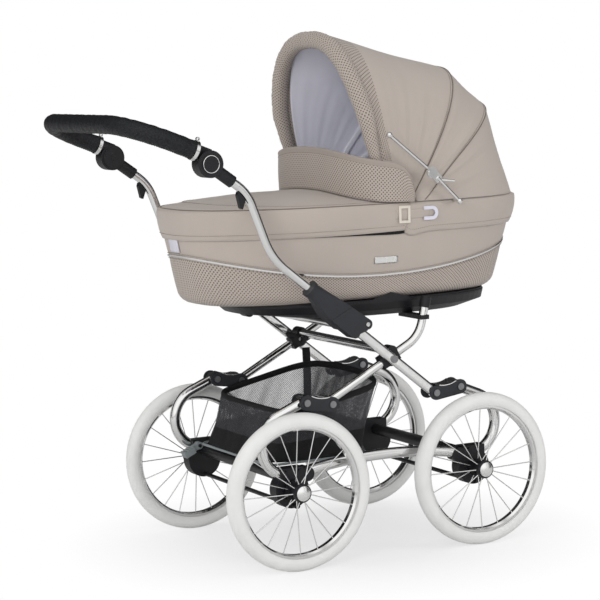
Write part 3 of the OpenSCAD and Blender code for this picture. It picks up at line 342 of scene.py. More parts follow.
# %% Cloth, net and grip leather
NET_PITCH, NET_HOLE, NET_EDGE = 0.0026, 0.38, 0.06


def lining_cloth(name):
    """Pale lilac cotton: a fine plain weave as two crossed waves."""
    finish = Finish(name, sRGB(232, 232, 243), 0.85, Sheen_Weight=0.25)
    finish.shades(finish.noise(finish.place(), scale=14.0), amount=0.04)
    for direction in ("X", "Y"):
        finish.bump(finish.ribs(direction, scale=260.0), distance=0.0002, strength=0.35)
    return finish.material


def net_with_painted_sheen():
    """Knitted net: a diamond grid of round holes, which are open because their alpha is 0."""
    # The net is black; its threads are coloured mid grey as painted sheen.
    finish = Finish("net_with_painted_sheen", sRGB(64, 64, 68), 0.7)
    finish.shades(finish.noise(finish.place(), scale=30.0), amount=0.3)
    off = finish.off_middle(NET_PITCH)
    finish.into("Alpha", finish.spread(off, NET_HOLE - NET_EDGE, NET_HOLE + NET_EDGE, 0.0, 1.0))
    return finish.material


def woven_black(name, colour, ribs):
    """Black webbing or binding: ribs across the tape."""
    finish = Finish(name, colour, 0.8)
    waves = finish.ribs("X", ribs)
    # The colour follows the ribs: painted shade in the grooves between them, lighter on their tops.
    finish.shades(waves, amount=0.3)
    finish.bump(waves, distance=0.0004, strength=0.5)
    return finish.material


def grip_leather():
    """Black pebbled leather, shinier on top of its grain."""
    finish = Finish("grip_leather", sRGB(27, 28, 31), 0.48, Specular_IOR_Level=0.3)
    grain = finish.spread(finish.pebbles(scale=300.0), 0.1, 0.7, 1.0, 0.0)
    # The colour follows the grain: painted shade in the valleys between the pebbles, lighter on their tops.
    finish.shades(grain, amount=0.35)
    finish.into("Roughness", finish.spread(grain, 0.0, 1.0, 0.62, 0.4))
    finish.bump(grain, distance=0.0009, strength=0.8)
    return finish.material


lining, pad_cloth = lining_cloth("lining_cloth"), lining_cloth("pad_cloth")
thread = moulded("thread", sRGB(142, 131, 120), 0.8, 3000.0)
black_thread = moulded("black_thread", sRGB(40, 40, 44), 0.7, 3000.0)
net = net_with_painted_sheen()
black_cloth = woven_black("black_cloth", sRGB(17, 17, 19), 700.0)
webbing = woven_black("webbing", sRGB(20, 20, 22), 420.0)
grip_skin = grip_leather()
print("all finishes:", len(bpy.data.materials))

# %% [markdown]
# ### Finishes on the frame
#
# On the real pram each maker's drawing names a finish for each part. Here a table does it: every
# finish lists how the names of its nodes start, and the longest start that fits a node wins.

# %% Put a finish on every CAD node
NODE_FINISH = {
    white_rubber: ["tyre_"],
    chrome_tube: ["rim_f", "rim_r", "spring_frames", "rear_link_saddles", "front_link_saddles",
                  "rear_arms", "handle_arms", "handle_tubes", "clamp_rings", "trim_strip",
                  "front_stays", "rear_stays"],
    satin_cap: ["hub_cap_"],
    buckle_metal: ["side_buckles"],
    dark_steel: ["axle_stubs", "rear_link_pins", "front_link_pins", "pivot_pins"],
    black_plastic: ["hub_f", "hub_r", "axle_blocks", "upright_caps", "pivot_blocks", "hinge_sleeves",
                    "trigger_", "hinge_discs", "button_", "carrycot_base"],
    black_paint: ["cross_tubes", "brake_shaft"],
    grey_plastic: ["brake_pedal", "basket_wire"],
    charcoal_plastic: ["rear_links", "front_links", "hinge_housings", "lock_sleeve_"],
    greige_leather: ["tub", "apron", "wind_flap", "rim_band", "hood_", "mattress"],
    grip_skin: ["grip"],
    black_cloth: ["basket"],
}


def finish_of(node):
    """The finish whose longest name starts the node's name."""
    found = [(len(start), finish) for finish, starts in NODE_FINISH.items() for start in starts
             if node.startswith(start)]
    return max(found, key=lambda pair: pair[0])[1]


for name, piece in nodes.items():
    piece.data.materials.clear()
    piece.data.materials.append(finish_of(name))
print("CAD nodes finished:", len(nodes))

# %% [markdown]
# ## Surfaces from arrays
#
# A piece of cloth is a grid of points: one index runs round the piece, the other across it. Given the
# grid as one numpy array, a few array operations make its quads and its UV map. The UV map holds arc
# lengths in metres, averaged over the grid, so that a print keeps its scale.

# %% Quads and arc lengths
def arc(points, axis, closed):
    """Arc length along one axis of a grid, averaged over the other axis, starting at 0."""
    rows = np.concatenate([points, points.take([0], axis)], axis) if closed else points
    steps = np.linalg.norm(np.diff(rows, axis=axis), axis=2).mean(1 - axis)
    return np.concatenate([[0], np.cumsum(steps)])


def quads(rows, columns, close_rows=False, close_columns=False):
    """Corner numbers of the quads between neighbours of a grid, and each quad's own row and column."""
    down, wide = rows - (not close_rows), columns - (not close_columns)
    i, j = np.meshgrid(np.arange(down), np.arange(wide), indexing="ij")
    k, l = (i + 1) % rows, (j + 1) % columns
    corners = np.stack([i * columns + j, k * columns + j, k * columns + l, i * columns + l], -1)
    return corners.reshape(-1, 4), i.ravel(), j.ravel()


print("a grid of 3 x 4 points has", len(quads(3, 4)[0]), "quads")

# %% [markdown]
# ### Meshes from grids
#
# Blender takes a mesh as lists of points and faces. One function makes the object and gives its faces
# their finishes and UV map. Another merges points that lie on each other, which closes a pole. A
# solidify modifier gives a sheet its thickness, so that a hem shows an edge.

# %% From a grid of points to a mesh
def new_piece(name, points, faces, finishes, slots=None, uv=None):
    """A smooth-shaded mesh object at the origin. slots gives each face its finish by number."""
    mesh = bpy.data.meshes.new(name)
    mesh.from_pydata(points.reshape(-1, 3).tolist(), [], faces.tolist())
    for finish in finishes:
        mesh.materials.append(finish)
    if slots is not None:
        mesh.polygons.foreach_set("material_index", slots.astype(np.int32))
    if uv is not None:
        mesh.uv_layers.new(name="UVMap").data.foreach_set("uv", uv.astype(np.float32).ravel())
    mesh.polygons.foreach_set("use_smooth", np.ones(len(faces), bool))
    piece = bpy.data.objects.new(name, mesh)
    scene.collection.objects.link(piece)
    return piece


def close_poles(piece):
    """Merges points that lie on each other, which closes poles and seams, and turns the faces outwards."""
    work = bmesh.new()
    work.from_mesh(piece.data)
    bmesh.ops.remove_doubles(work, verts=work.verts, dist=1e-6)
    bmesh.ops.recalc_face_normals(work, faces=work.faces)
    work.to_mesh(piece.data)
    work.free()
    return piece


def surface(name, points, finishes, close_rows=False, close_columns=False, slot_of_column=None):
    """A piece from a grid of points: arc lengths as its UV map, a finish for each stretch of columns."""
    faces, i, j = quads(*points.shape[:2], close_rows, close_columns)
    u, v = arc(points, 0, close_rows), arc(points, 1, close_columns)
    along = np.stack([u[i], u[i + 1], u[i + 1], u[i]], 1)
    across = np.stack([v[j], v[j], v[j + 1], v[j + 1]], 1)
    slots = None if slot_of_column is None else np.asarray(slot_of_column)[j]
    return new_piece(name, points, faces, finishes, slots, np.stack([along, across], -1))


def thicken(piece, thickness, offset=-1):
    """Gives a sheet its thickness: inwards with offset -1, to both sides with 0."""
    cloth = piece.modifiers.new("cloth", "SOLIDIFY")
    cloth.thickness, cloth.offset = thickness, offset


print("meshes before the dressing:", len(bpy.data.meshes))

# %% [markdown]
# ### Along a path
#
# Much of a pram's trim runs along a path: piping, tape, straps, seams and the grip. All of it needs
# points with equal steps, and three directions at each point: along the path, across it, and upward
# from it. Arc lengths are running sums of the steps, and equal steps come from interpolating them.

# %% Paths
def unit(vectors):
    """Vectors scaled to length 1."""
    return vectors / np.linalg.norm(vectors, axis=-1, keepdims=True)


def level(vectors):
    """Unit vectors with their height taken out."""
    return unit(vectors * [1, 1, 0])


def running_length(path):
    """Arc length from the start of a path to each of its points."""
    return np.concatenate([[0], np.cumsum(np.linalg.norm(np.diff(path, axis=0), axis=1))])


def resample(path, count):
    """A path of points with equal steps, by linear interpolation over its arc length."""
    length = running_length(path)
    at = np.linspace(0, length[-1], count)
    return np.stack([np.interp(at, length, path[:, axis]) for axis in range(3)], 1)


def equal_steps(values, path, count, closed=False):
    """Values of a curve's parameter that step along the curve by equal arc lengths."""
    length = running_length(path)
    return np.interp(np.linspace(0, length[-1], count, endpoint=not closed), length, values)


def frames(path, up, closed=False):
    """Along, across and upward directions at each point of a path. up is one vector, or one each."""
    ends = np.concatenate([path[-1:], path, path[:1]]) if closed else path
    along = unit(np.gradient(ends, axis=0)[1:-1] if closed else np.gradient(path, axis=0))
    across = unit(np.cross(along, np.broadcast_to(np.asarray(up, float), path.shape)))
    return along, across, np.cross(across, along)


corner = np.array([[0.0, 0, 0], [3, 0, 0], [3, 4, 0]])
print("a bent path of", running_length(corner)[-1], "m has its middle at", resample(corner, 3)[1])

# %% [markdown]
# ### Tubes
#
# Piping, tape and the grip are one job: a round or flat profile carried along a path. Blender could
# bevel a curve, but with the points in an array the radius can change on the way, and a squeeze makes
# a flat tape of the same circle. A sum of sines makes cloth wander.

# %% Tubes
def ripple(x, waves):
    """A sum of sines, given as (height, wavelength, phase): how cloth that is nearly flat wanders."""
    return sum(height * np.sin(2 * np.pi * x / length + phase) for height, length, phase in waves)


def tube(name, path, radius, finish, up=(0, 0, 1), sides=12, closed=False, squeeze=1.0):
    """A round profile along a path: path + radius (cos across + squeeze sin upward), with closed ends."""
    along, across, upward = frames(path, up, closed)
    radius = np.broadcast_to(np.asarray(radius, float), len(path))
    turn = np.linspace(0, 2 * np.pi, sides, endpoint=False)
    profile = np.cos(turn)[:, None] * across[:, None] + squeeze * np.sin(turn)[:, None] * upward[:, None]
    points = path[:, None] + radius[:, None, None] * profile
    if not closed:
        caps = [np.repeat(path[end][None, None], sides, 1) for end in (0, -1)]
        points = np.concatenate([caps[0], points, caps[1]])
    return close_poles(surface(name, points, [finish], closed, True))


print("a wave of 1 m is", round(ripple(0.25, [(1.0, 1.0, 0.0)]), 3), "high after a quarter")

# %% [markdown]
# ### Stitches
#
# A seam shows as a row of small beads that sink into the leather at both ends. One bead is worked out
# and repeated along the path by broadcasting. Seams of the canopy have their placing baked into their
# mesh, and the others ride on one body.

# %% Stitches
STITCH, STITCH_GAP, STITCH_THICK = 0.0032, 0.0052, 0.0005


def bend_with_hood(piece):
    """Bakes the placing of a piece of the canopy into its mesh, which then rides on no body."""
    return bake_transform(piece)


def stitches(name, path, outward, body, finish=thread):
    """A row of stitches along a path: each is a four-sided bead, sunk into the cloth at its ends."""
    count = max(2, int(running_length(path)[-1] / STITCH_GAP))
    outward = resample(np.broadcast_to(outward, path.shape), count)
    path = resample(path, count)
    along, across, upward = frames(path, outward)
    reach = np.array([-0.5, -0.3, 0.3, 0.5]) * STITCH
    lift = np.array([-0.6, 0.7, 0.7, -0.6]) * STITCH_THICK
    turn = np.arange(4) * np.pi / 2
    ring_across, ring_up = np.cos(turn) * STITCH_THICK, np.sin(turn) * STITCH_THICK
    points = (path[:, None, None] + reach[:, None, None] * along[:, None, None]
              + ring_across[:, None] * across[:, None, None]
              + (lift[:, None, None] + ring_up[:, None]) * upward[:, None, None])
    bead = np.concatenate([quads(4, 4, False, True)[0], [[3, 2, 1, 0], [12, 13, 14, 15]]])
    faces = (bead[None] + 16 * np.arange(count)[:, None, None]).reshape(-1, 4)
    piece = new_piece(name, points, faces, [finish])
    return bend_with_hood(piece) if body == "canopy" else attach(piece, body)


print("a metre of seam has", int(1 / STITCH_GAP), "stitches")

# %% [markdown]
# ## The carrycot's plan
#
# Seen from above the carrycot is a long rounded box. A superellipse, |x/a|^n + |y/b|^n = 1, gives that
# shape with one number for how square its corners are. The tub narrows towards its foot, so half
# length and half width are functions of the share h of its height.

# %% Plan of the tub
TUB_LOW, TUB_TOP = (corner[2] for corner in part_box("tub"))
TUB_H = TUB_TOP - TUB_LOW
COT_X, COT_A, COT_B = 0.032, 0.444, 0.222
ROUND = 2.6
LEAN_X, LEAN_A, LEAN_B = 0.009, 0.004, 0.003
TAPER_A, TAPER_B, TAPER_POWER = 0.046, 0.028, 1.3


def power(value, exponent):
    """A power that keeps the value's sign."""
    return np.sign(value) * np.abs(value) ** exponent


def tub_size(h):
    """Middle, half length and half width of the tub's plan at a share h of its height. Below the rim the
    walls lean in evenly, and taper by a power of the distance."""
    low = 1 - h
    taper = np.maximum(low, 0) ** TAPER_POWER
    return (COT_X - LEAN_X * low, COT_A - TAPER_A * taper - LEAN_A * low,
            COT_B - TAPER_B * taper - LEAN_B * low)


def on_tub(turn, h, out=0.0):
    """A point of the tub's side: superellipse of the plan at h, set out by a distance."""
    middle, a, b = tub_size(h)
    x = middle + (a + out) * power(np.cos(turn), 2 / ROUND)
    y = (b + out) * power(np.sin(turn), 2 / ROUND)
    return np.stack(np.broadcast_arrays(x, y, TUB_LOW + h * TUB_H), -1)


def on_rim(turn):
    return on_tub(turn, np.ones_like(turn))


def even_turns(count, closed=True):
    """Turns that step round the rim's plan by equal arc lengths, starting at the front."""
    fine = np.linspace(0, 2 * np.pi, 4001)
    return equal_steps(fine, on_rim(fine), count, closed)


turns = even_turns(320)
print("tub from", round(TUB_LOW, 4), "to", round(TUB_TOP, 4), "m")

# %% [markdown]
# ## The tub
#
# The tub is a padded shell. A chrome strip dips along its side: below it the leather is dotted, above
# it plain. Inside is the pale lining. One grid makes it all: its columns run from the foot up the
# outside, over the rim and down the inside, and each stretch of columns has its own finish.

# %% Tub
WALL, FOOT_R = 0.009, 0.024
TRIM_LOW, TRIM_RISE = 0.26, 0.26
SWELL_BELOW, SWELL_ABOVE, SEAM_SINK = 0.0022, 0.0026, 0.0015
PANEL_TOP, RIM_FROM, RIM_RISE = 0.955, 0.96, 0.03
LINING_TOP, LINING_LOW, QUILT, QUILT_ROWS = 0.95, 0.10, 0.0015, 6
FLOOR_AT, FLOOR_FROM, SEAM_OUT = 0.09, 0.9, 0.0011
PANEL, RIM, FLOOR = 14, 9, 6
TUB_SLOTS = [0] * PANEL + [1] * (PANEL + RIM // 2 + 1) + [2] * (RIM // 2 + PANEL + FLOOR)


def trim_share(turn):
    """The strip's height as a share of the tub's: lowest amidships, rising with the distance squared."""
    return TRIM_LOW + TRIM_RISE * power(np.cos(turn), 2 / ROUND) ** 2


def tub_grid():
    """Columns: dotted panel, plain panel, rim, lining, floor. Panels swell between their seams by a
    sine, and the foot draws in along a quarter circle."""
    t = turns[:, None]
    trim = trim_share(t)
    up = np.linspace(0, 1, PANEL)[None]
    padding = np.sin(np.pi * up) ** 0.5
    share = trim * up ** 1.4
    below = np.clip(1 - share * TUB_H / FOOT_R, 0, 1)
    foot = FOOT_R * (1 - np.sqrt(1 - below ** 2))
    lower = on_tub(t, share, SWELL_BELOW * padding - SEAM_SINK - foot)
    upper = on_tub(t, trim + (PANEL_TOP - trim) * up, SWELL_ABOVE * padding - SEAM_SINK)
    over = np.linspace(0, np.pi, RIM)[None]
    rim = on_tub(t, RIM_FROM + RIM_RISE * np.sin(over), -WALL / 2 * (1 - np.cos(over)) - 0.0005)
    down = np.linspace(LINING_TOP, LINING_LOW, PANEL)[None]
    inner = on_tub(t, down + 0 * t, -WALL - QUILT * np.sin(np.pi * down * QUILT_ROWS) ** 2)
    centre = np.array([COT_X, 0, TUB_LOW + FLOOR_AT * TUB_H])
    floor = centre + (inner[:, -1:] - centre) * np.linspace(FLOOR_FROM, 0, FLOOR)[None, :, None]
    floor[:, :, 2] = centre[2]
    return np.concatenate([lower, upper, rim, inner, floor], 1)


tub = surface("tub_upholstery", tub_grid(), [dotted, greige_leather, lining], True, False, TUB_SLOTS)
close_poles(tub)
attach(tub, "carrycot")
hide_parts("tub")
for side, offset in (("above", 0.030), ("below", -0.026)):
    seam = on_tub(turns, trim_share(turns) + offset, SEAM_OUT)
    ring = np.concatenate([seam, seam[:1]])
    outward = unit(ring - [COT_X, 0, TUB_LOW + 0.3 * TUB_H])
    stitches("trim_stitches_" + side, ring, outward, "carrycot")
print("tub:", len(tub.data.polygons), "faces")

# %% [markdown]
# ## The apron and its band
#
# A fitted cover is buckled over the foot end. Its skirt laps the rim all round, and its top rises in
# a low dome to the wind flap. So the plan of the flap comes first, an oval bow that curves towards the
# foot end, and with it the height of the dome.

# %% Plan of the wind flap, where the apron's top ends
FLAP_X, FLAP_A, FLAP_B, FLAP_N = 0.118, 0.172, 0.241, 3.6
FLAP_END = np.radians(88.5)
CLOTH = 0.005
DOME, DOME_LIFT, DOME_REACH = 0.026, 0.006, 1.06


def flap_at(turn, out):
    """Plan of the flap, half an oval that curves towards the foot end, set out by a distance."""
    x = FLAP_X - (FLAP_A + out) * power(np.cos(turn), 2 / FLAP_N)
    return x, (FLAP_B + out) * power(np.sin(turn), 2 / FLAP_N)


def cover_height(x, y):
    """Height of the domed cover: DOME (1 - k^2) over the rim, where k is 1 on the rim's plan and 0
    amidships."""
    along = (np.abs(x - COT_X) / (COT_A + CLOTH)) ** ROUND
    across = (np.abs(y) / (COT_B + CLOTH)) ** ROUND
    k = np.minimum((along + across) ** (1 / ROUND), DOME_REACH)
    return TUB_TOP + DOME_LIFT + DOME * (1 - k * k)


print("dome rises to", round(float(cover_height(COT_X, 0)), 4), "m")

# %% [markdown]
# ### The band
#
# The band is the cover's skirt. It swells between its hem and its seam, and cloth that is pulled over
# an edge is never quite even, so the swell wanders by a few long sines. Towards the buckle the hem
# hangs slack. One function makes the band for both ends of the carrycot.

# %% Band
BAND_H, LAP = 0.066, 0.006
BAND_SHARE = 1 - BAND_H / TUB_H
BAND_SWELL, BAND_FLARE, BAND_COLUMNS = 0.0035, 0.002, 12
HEM_IN, HEM_DROP = np.array([[0.004, 0.002]]), np.array([[0.03, -0.004]])
HOOD_X = 0.100
FRONT_EDGE = HOOD_X - 0.014
SLACK_FROM, SLACK = -0.15, 0.022
JOIN_AT, JOIN_WIDE, MEAN_R = 0.02, 0.03, 0.35


def band_profile(up):
    """How far the band stands out and its share of the tub's height, from the hem (0) to the edge (1).
    It swells by a sine and pulls in at the hem and at the seam."""
    out = LAP - 0.0005 + BAND_SWELL * np.sin(np.pi * np.clip(up, 0, 1)) ** 0.7 + BAND_FLARE * up
    return out, BAND_SHARE + (1.0 - BAND_SHARE) * up


def band_grid(turn, phase, tab=0.0):
    """The band's columns at given turns: turned-in hem, then the swell up to the rim's edge. tab lowers
    the hem at the join with the apron by a bell curve."""
    t = turn[:, None]
    up = np.linspace(0, 1, BAND_COLUMNS)[None]
    out, share = band_profile(up)
    along = (t - t[0]) * MEAN_R
    wander = ripple(along, [(0.0011, 0.19, phase), (0.0006, 0.083, 2.0 + phase)])
    x = on_rim(turn)[:, :1]
    slack = np.clip((x - SLACK_FROM) / (FRONT_EDGE - SLACK_FROM), 0, 1) ** 1.5 * (x < FRONT_EDGE + 0.002)
    bell = np.exp(-((x - FRONT_EDGE - JOIN_AT) / JOIN_WIDE) ** 2)
    dip = (ripple(along, [(0.006, 0.9, 1.0 + phase)]) + SLACK * slack - tab * bell) * (1 - up)
    face = on_tub(t, share + 0 * t + dip, out + wander * np.sin(np.pi * (0.15 + 0.85 * up)))
    hem = on_tub(t, share[:, :1] + dip[:, :1] + HEM_DROP, out[:, :1] - HEM_IN)
    return np.concatenate([hem, face], 1)


print("band covers", round(1 - BAND_SHARE, 3), "of the tub's height")

# %% [markdown]
# ### The apron's sheet
#
# The apron is one sheet: columns run from the hem up the skirt, round the padded edge and across the
# top to the flap's foot. It could be cloth, pinned and let fall, but it is tight over a stiff edge, so
# straight lines lifted to the dome come closer, with a little softness added.

# %% Apron
APRON_PHASE = 0.4
APRON_SOFT = [(0.0012, 0.21, 0.3), (0.0007, 0.117, 1.7)]
LEATHER, ON_TOP = 0.0018, 0.0004
FLAP_BEHIND, RIM_CLEAR = 0.004, 0.013
EDGE_ROLL, PULL, PULL_AT, PULL_WIDE = 0.045, 0.0035, 0.11, 0.03
PIPING_R, PIPING_LIFT = 0.0013, 0.0006
SEAM_COLUMN, PIPING_COLUMN, EDGE_COLUMN = 4, 14, 19


def spread_turns(turns_there, count):
    """The same run of turns with another count of them."""
    place = np.linspace(0, 1, len(turns_there))
    return np.interp(np.linspace(0, 1, count), place, turns_there)


def apron_turns(count):
    """Turns round the foot end, from the front edge on the left to the front edge on the right."""
    fine = even_turns(2001, False)
    return spread_turns(fine[on_rim(fine)[:, 0] < FRONT_EDGE], count)


def apron_grid(count=240, across=26):
    """Band columns, then columns from the rim to the flap's foot: straight lines in plan, lifted by
    cover_height. The padded edge rolls over at the start of the run, by 1 - exp(-share)."""
    t = apron_turns(count)
    band = band_grid(t, APRON_PHASE)
    edge = band[:, -1]
    fx, fy = flap_at(np.linspace(FLAP_END, -FLAP_END, count), -FLAP_BEHIND)
    fy = np.clip(fy, -COT_B + RIM_CLEAR, COT_B - RIM_CLEAR)
    share = np.linspace(0, 1, across + 1)[1:][None] ** 1.15
    x = edge[:, :1] + (fx[:, None] - edge[:, :1]) * share
    y = edge[:, 1:2] + (fy[:, None] - edge[:, 1:2]) * share
    roll = 1 - np.exp(-share / EDGE_ROLL)
    pull = PULL * np.exp(-((share - PULL_AT) / PULL_WIDE) ** 2)
    soft = ripple(x + 0.4 * y, APRON_SOFT) * np.sin(np.pi * share)
    z = edge[:, 2:] + (cover_height(x, y) - edge[:, 2:]) * roll - pull + soft
    return np.concatenate([band, np.stack([x, y, z], -1)], 1), t


grid, apron_t = apron_grid()
apron = surface("apron_cover", grid, [greige_leather])
thicken(apron, LEATHER)
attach(apron, "carrycot")
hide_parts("apron")
hem = band_grid(apron_t[2:-2], APRON_PHASE)[:, SEAM_COLUMN]
from_middle = hem - hem.mean(0)
stitches("apron_hem_stitches", hem + ON_TOP * unit(from_middle), level(from_middle), "carrycot")
stitches("apron_edge_stitches", grid[:, EDGE_COLUMN] + [0, 0, ON_TOP], (0, 0, 1), "carrycot")
piping_line = grid[:, PIPING_COLUMN] + [0, 0, PIPING_LIFT]
piping = tube("apron_piping", piping_line, PIPING_R, seam_leather, sides=8)
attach(piping, "carrycot")
print("apron:", len(apron.data.polygons), "faces")

# %% [markdown]
# ## The band round the head end
#
# In front of the apron the same band carries on round the head end, under the hood's hem. It turns in
# over the tub's rim and is held to the apron by a buckle on each side. It is the same function again,
# with four more columns over the rim.

# %% Rim band
JOIN_DROP, JOIN_PHASE = 0.035, 2.2
OVER_RISE, OVER_OUT, OVER_IN = 0.018, 0.0073, 0.011


def rim_turns(count):
    """Turns round the head end, from the right side's join to the left side's."""
    fine = np.linspace(-np.pi / 2 - 0.2, np.pi / 2 + 0.2, 3001)
    return spread_turns(fine[on_rim(fine)[:, 0] > FRONT_EDGE - 0.004], count)


head_turns = rim_turns(150)
head_band = band_grid(head_turns, JOIN_PHASE, JOIN_DROP)
over = np.linspace(0, 1, 5)[None, 1:]
top = on_tub(head_turns[:, None], 1.0 + OVER_RISE * np.sin(over * np.pi / 2), OVER_OUT - OVER_IN * over)
rim_band = surface("head_band", np.concatenate([head_band, top], 1), [greige_leather])
thicken(rim_band, LEATHER)
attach(rim_band, "carrycot")
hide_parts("rim_band")
hem = head_band[:, SEAM_COLUMN]
stitches("head_hem_stitches", hem, level(hem - [COT_X, 0, 0]), "carrycot")
print("head band:", len(rim_band.data.polygons), "faces")

# %% [markdown]
# ## The wind flap
#
# The flap stands up where the apron ends and keeps the wind off: a stiffened panel of dotted leather
# with a plain bound edge. Its section is a closed loop, so the grid closes round the section, and its
# finish changes from dotted face to plain binding along the top. Its ends have small rounded corners.

# %% Wind flap
FLAP_T, FLAP_FLARE, FLAP_H, FLAP_DROP, FLAP_FOOT = 0.008, 0.005, 0.088, 0.010, 0.012
FLAP_SQUARE = 26
FACE_TOP, FACE_COLUMNS, BINDING_COLUMNS = 0.86, 14, 11
FACE_SWELL, BINDING_SWELL = 0.0012, 0.0014
FLAP_SLOTS = [0] * (FACE_COLUMNS - 1) + [1] * (BINDING_COLUMNS + 1) + [0] * FACE_COLUMNS


def flap_grid(count=150):
    """Rows along the bow, columns round the section: up the outside, over the binding, down the inside."""
    t = FLAP_END * np.sin(np.linspace(np.pi / 2, -np.pi / 2, count))[:, None]
    v = np.abs(t) / FLAP_END
    low = np.maximum(cover_height(*flap_at(t, 0.0)), cover_height(*flap_at(t, -FLAP_T))) + 0.0005
    corner = np.sqrt(np.maximum(1 - v ** FLAP_SQUARE, 0))
    high = (FLAP_H - FLAP_DROP * v * v) * corner + FLAP_FOOT
    up = np.linspace(0, FACE_TOP, FACE_COLUMNS)
    over = np.linspace(-np.pi / 2, np.pi / 2, BINDING_COLUMNS)
    rise = np.concatenate([up, 0.9 + 0.05 * np.cos(over), up[::-1]])
    side = np.concatenate([0 * up, -FLAP_T / 2 * (1 + np.sin(over)), 0 * up - FLAP_T])
    face = FACE_SWELL * np.sin(np.pi * up / FACE_TOP)
    bound = BINDING_SWELL * np.cos(over) ** 0.5 * np.sign(-np.sin(over))
    swell = np.concatenate([face, bound, -face[::-1]])
    x, y = flap_at(t, side + swell + FLAP_FLARE * v ** 3 * rise)
    rise = np.where(rise > FACE_TOP, rise + 0.05 * (rise - FACE_TOP) / 0.09, rise)
    return np.stack([x, y, low + high * rise], -1)


grid = flap_grid()
wind_flap = surface("wind_flap_panel", grid, [dotted, binding_leather], False, True, FLAP_SLOTS)
close_poles(wind_flap)
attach(wind_flap, "carrycot")
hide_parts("wind_flap")
seam = grid[4:-4, FACE_COLUMNS - 1]
stitches("flap_stitches", seam, level(seam - [FLAP_X, 0, 0]), "carrycot")
print("wind flap:", len(wind_flap.data.polygons), "faces")

# %% [markdown]
# ## The hood
#
# Bows under the canopy turn about one line through both sides, so the canopy is drawn as arches at
# angles about that line, straight from bow to bow. Each arch is a superellipse that leans by its
# angle: its height is the reach at that angle, and its half width is that of the carrycot.

# %% Plan of the hood
HOOD_Z = TUB_TOP + 0.0046
ROLL_REACH, ROLL_LEAN = 0.408, 107.0
MID_ANGLE, MID_REACH = 57.0, 0.365
BACK_ANGLE, BACK_REACH = 36.0, 0.373
HOOD_BACK = COT_X + COT_A - HOOD_X - 0.003
HOOD_DRAW, HOOD_IN, HOOD_FLARE = 0.034, 0.008, 0.012
HOOD_ROUND = 2.5


def chord(r1, a1, r2, a2, a):
    """Distance from the pivot to the straight line between two bows, at angle a."""
    return r1 * r2 * np.sin(np.radians(a2 - a1)) / (
        r1 * np.sin(np.radians(a - a1)) + r2 * np.sin(np.radians(a2 - a)))


def hood_reach(a):
    """Reach of the canopy's ridge at an angle: straight lines from bow to bow."""
    return np.where(a < BACK_ANGLE, chord(HOOD_BACK, 0, BACK_REACH, BACK_ANGLE, a),
                    np.where(a < MID_ANGLE, chord(BACK_REACH, BACK_ANGLE, MID_REACH, MID_ANGLE, a),
                             chord(MID_REACH, MID_ANGLE, ROLL_REACH, ROLL_LEAN, a)))


def hood_point(a, turn, inset=0.0, spread=0.0):
    """A point of the arch at angle a in degrees: a superellipse of reach and half width, leaning by a."""
    reach = (hood_reach(a) - inset) * power(np.sin(turn), 2 / HOOD_ROUND)
    half = COT_B - HOOD_IN + HOOD_FLARE * np.maximum(0, 1 - a / MID_ANGLE) + spread - inset
    draw = np.where(a < MID_ANGLE, 0, -HOOD_DRAW * (a - MID_ANGLE) / (ROLL_LEAN - MID_ANGLE))
    x = HOOD_X + draw * (1 - np.sin(turn) ** 2) + reach * np.cos(np.radians(a))
    y = half * power(np.cos(turn), 2 / HOOD_ROUND)
    z = HOOD_Z + reach * np.sin(np.radians(a))
    return np.stack(np.broadcast_arrays(x, y, z), -1)


def even_arch(count, a, lift=0.0):
    """Turns with equal steps along the arch at angle a, from the left foot to the right one."""
    fine = np.linspace(lift, np.pi - lift, 4001)
    return equal_steps(fine, hood_point(a, fine), count)


print("hood reaches", ROLL_REACH, "m from its pivot")

# %% [markdown]
# ### The canopy
#
# Cloth between two bows sags a little inwards, and wrinkles where the crown turns into the sides. The
# cover and its lining are two sheets from the same formula. Both have their placing baked into their
# meshes, and ride on no body.

# %% Canopy and lining
CANOPY_ROWS, CANOPY_COLUMNS, CANOPY_FROM = 110, 121, -0.2
FRONT_BAND = 7.0
CANOPY_THICK, SAG, BACK_SAG = 0.0015, 0.004, 0.6
CREASES, CREASE_AT, CREASE_WIDE = [(0.0012, 11.0, 0.5), (0.0008, 6.3, 2.0)], 0.55, 0.25


def bow_sag(a):
    """Sag between bows: 1 halfway between two bows and 0 on a bow."""
    bows = np.array([0.0, BACK_ANGLE, MID_ANGLE, ROLL_LEAN])
    place = np.interp(a, bows, np.arange(4.0))
    return np.sin(np.pi * (place % 1.0)) ** 2


def canopy_grid(inset, creases=1.0):
    """Rows at angles from the back hem to the front edge, columns over each arch, with sag and creases."""
    a = np.linspace(CANOPY_FROM, ROLL_LEAN, CANOPY_ROWS)[:, None]
    t = even_arch(CANOPY_COLUMNS, 80.0, 0.01)[None]
    crown = np.sin(t) ** 0.7
    sag = SAG * bow_sag(a) * crown * np.where(a > MID_ANGLE, 1.0, BACK_SAG)
    crease = ripple(a, CREASES) * np.exp(-((crown - CREASE_AT) / CREASE_WIDE) ** 2)
    return hood_point(a, t, inset + sag + creases * crease).transpose(1, 0, 2)


angles = np.linspace(CANOPY_FROM, ROLL_LEAN, CANOPY_ROWS)[:-1]
canopy_slots = np.where(angles > ROLL_LEAN - FRONT_BAND, 1, 0)
canopy = surface("hood_cover", canopy_grid(0.0)[::-1], [greige_leather, dotted],
                 slot_of_column=canopy_slots)
canopy_lining = surface("hood_lining", canopy_grid(CLOTH, 0.35), [lining])
for piece in (canopy, canopy_lining):
    thicken(piece, CANOPY_THICK)
    bend_with_hood(piece)
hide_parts("hood_canopy")
print("canopy:", len(canopy.data.polygons), "faces")

# %% [markdown]
# ### Seams and tapes on the bows
#
# Each bow shows outside as a corded seam with a row of stitches beside it, and inside as a tape that
# covers it. All three follow the arch at the bow's angle. The back seam sweeps down behind the pivot:
# its angle falls off towards the feet by an exponential.

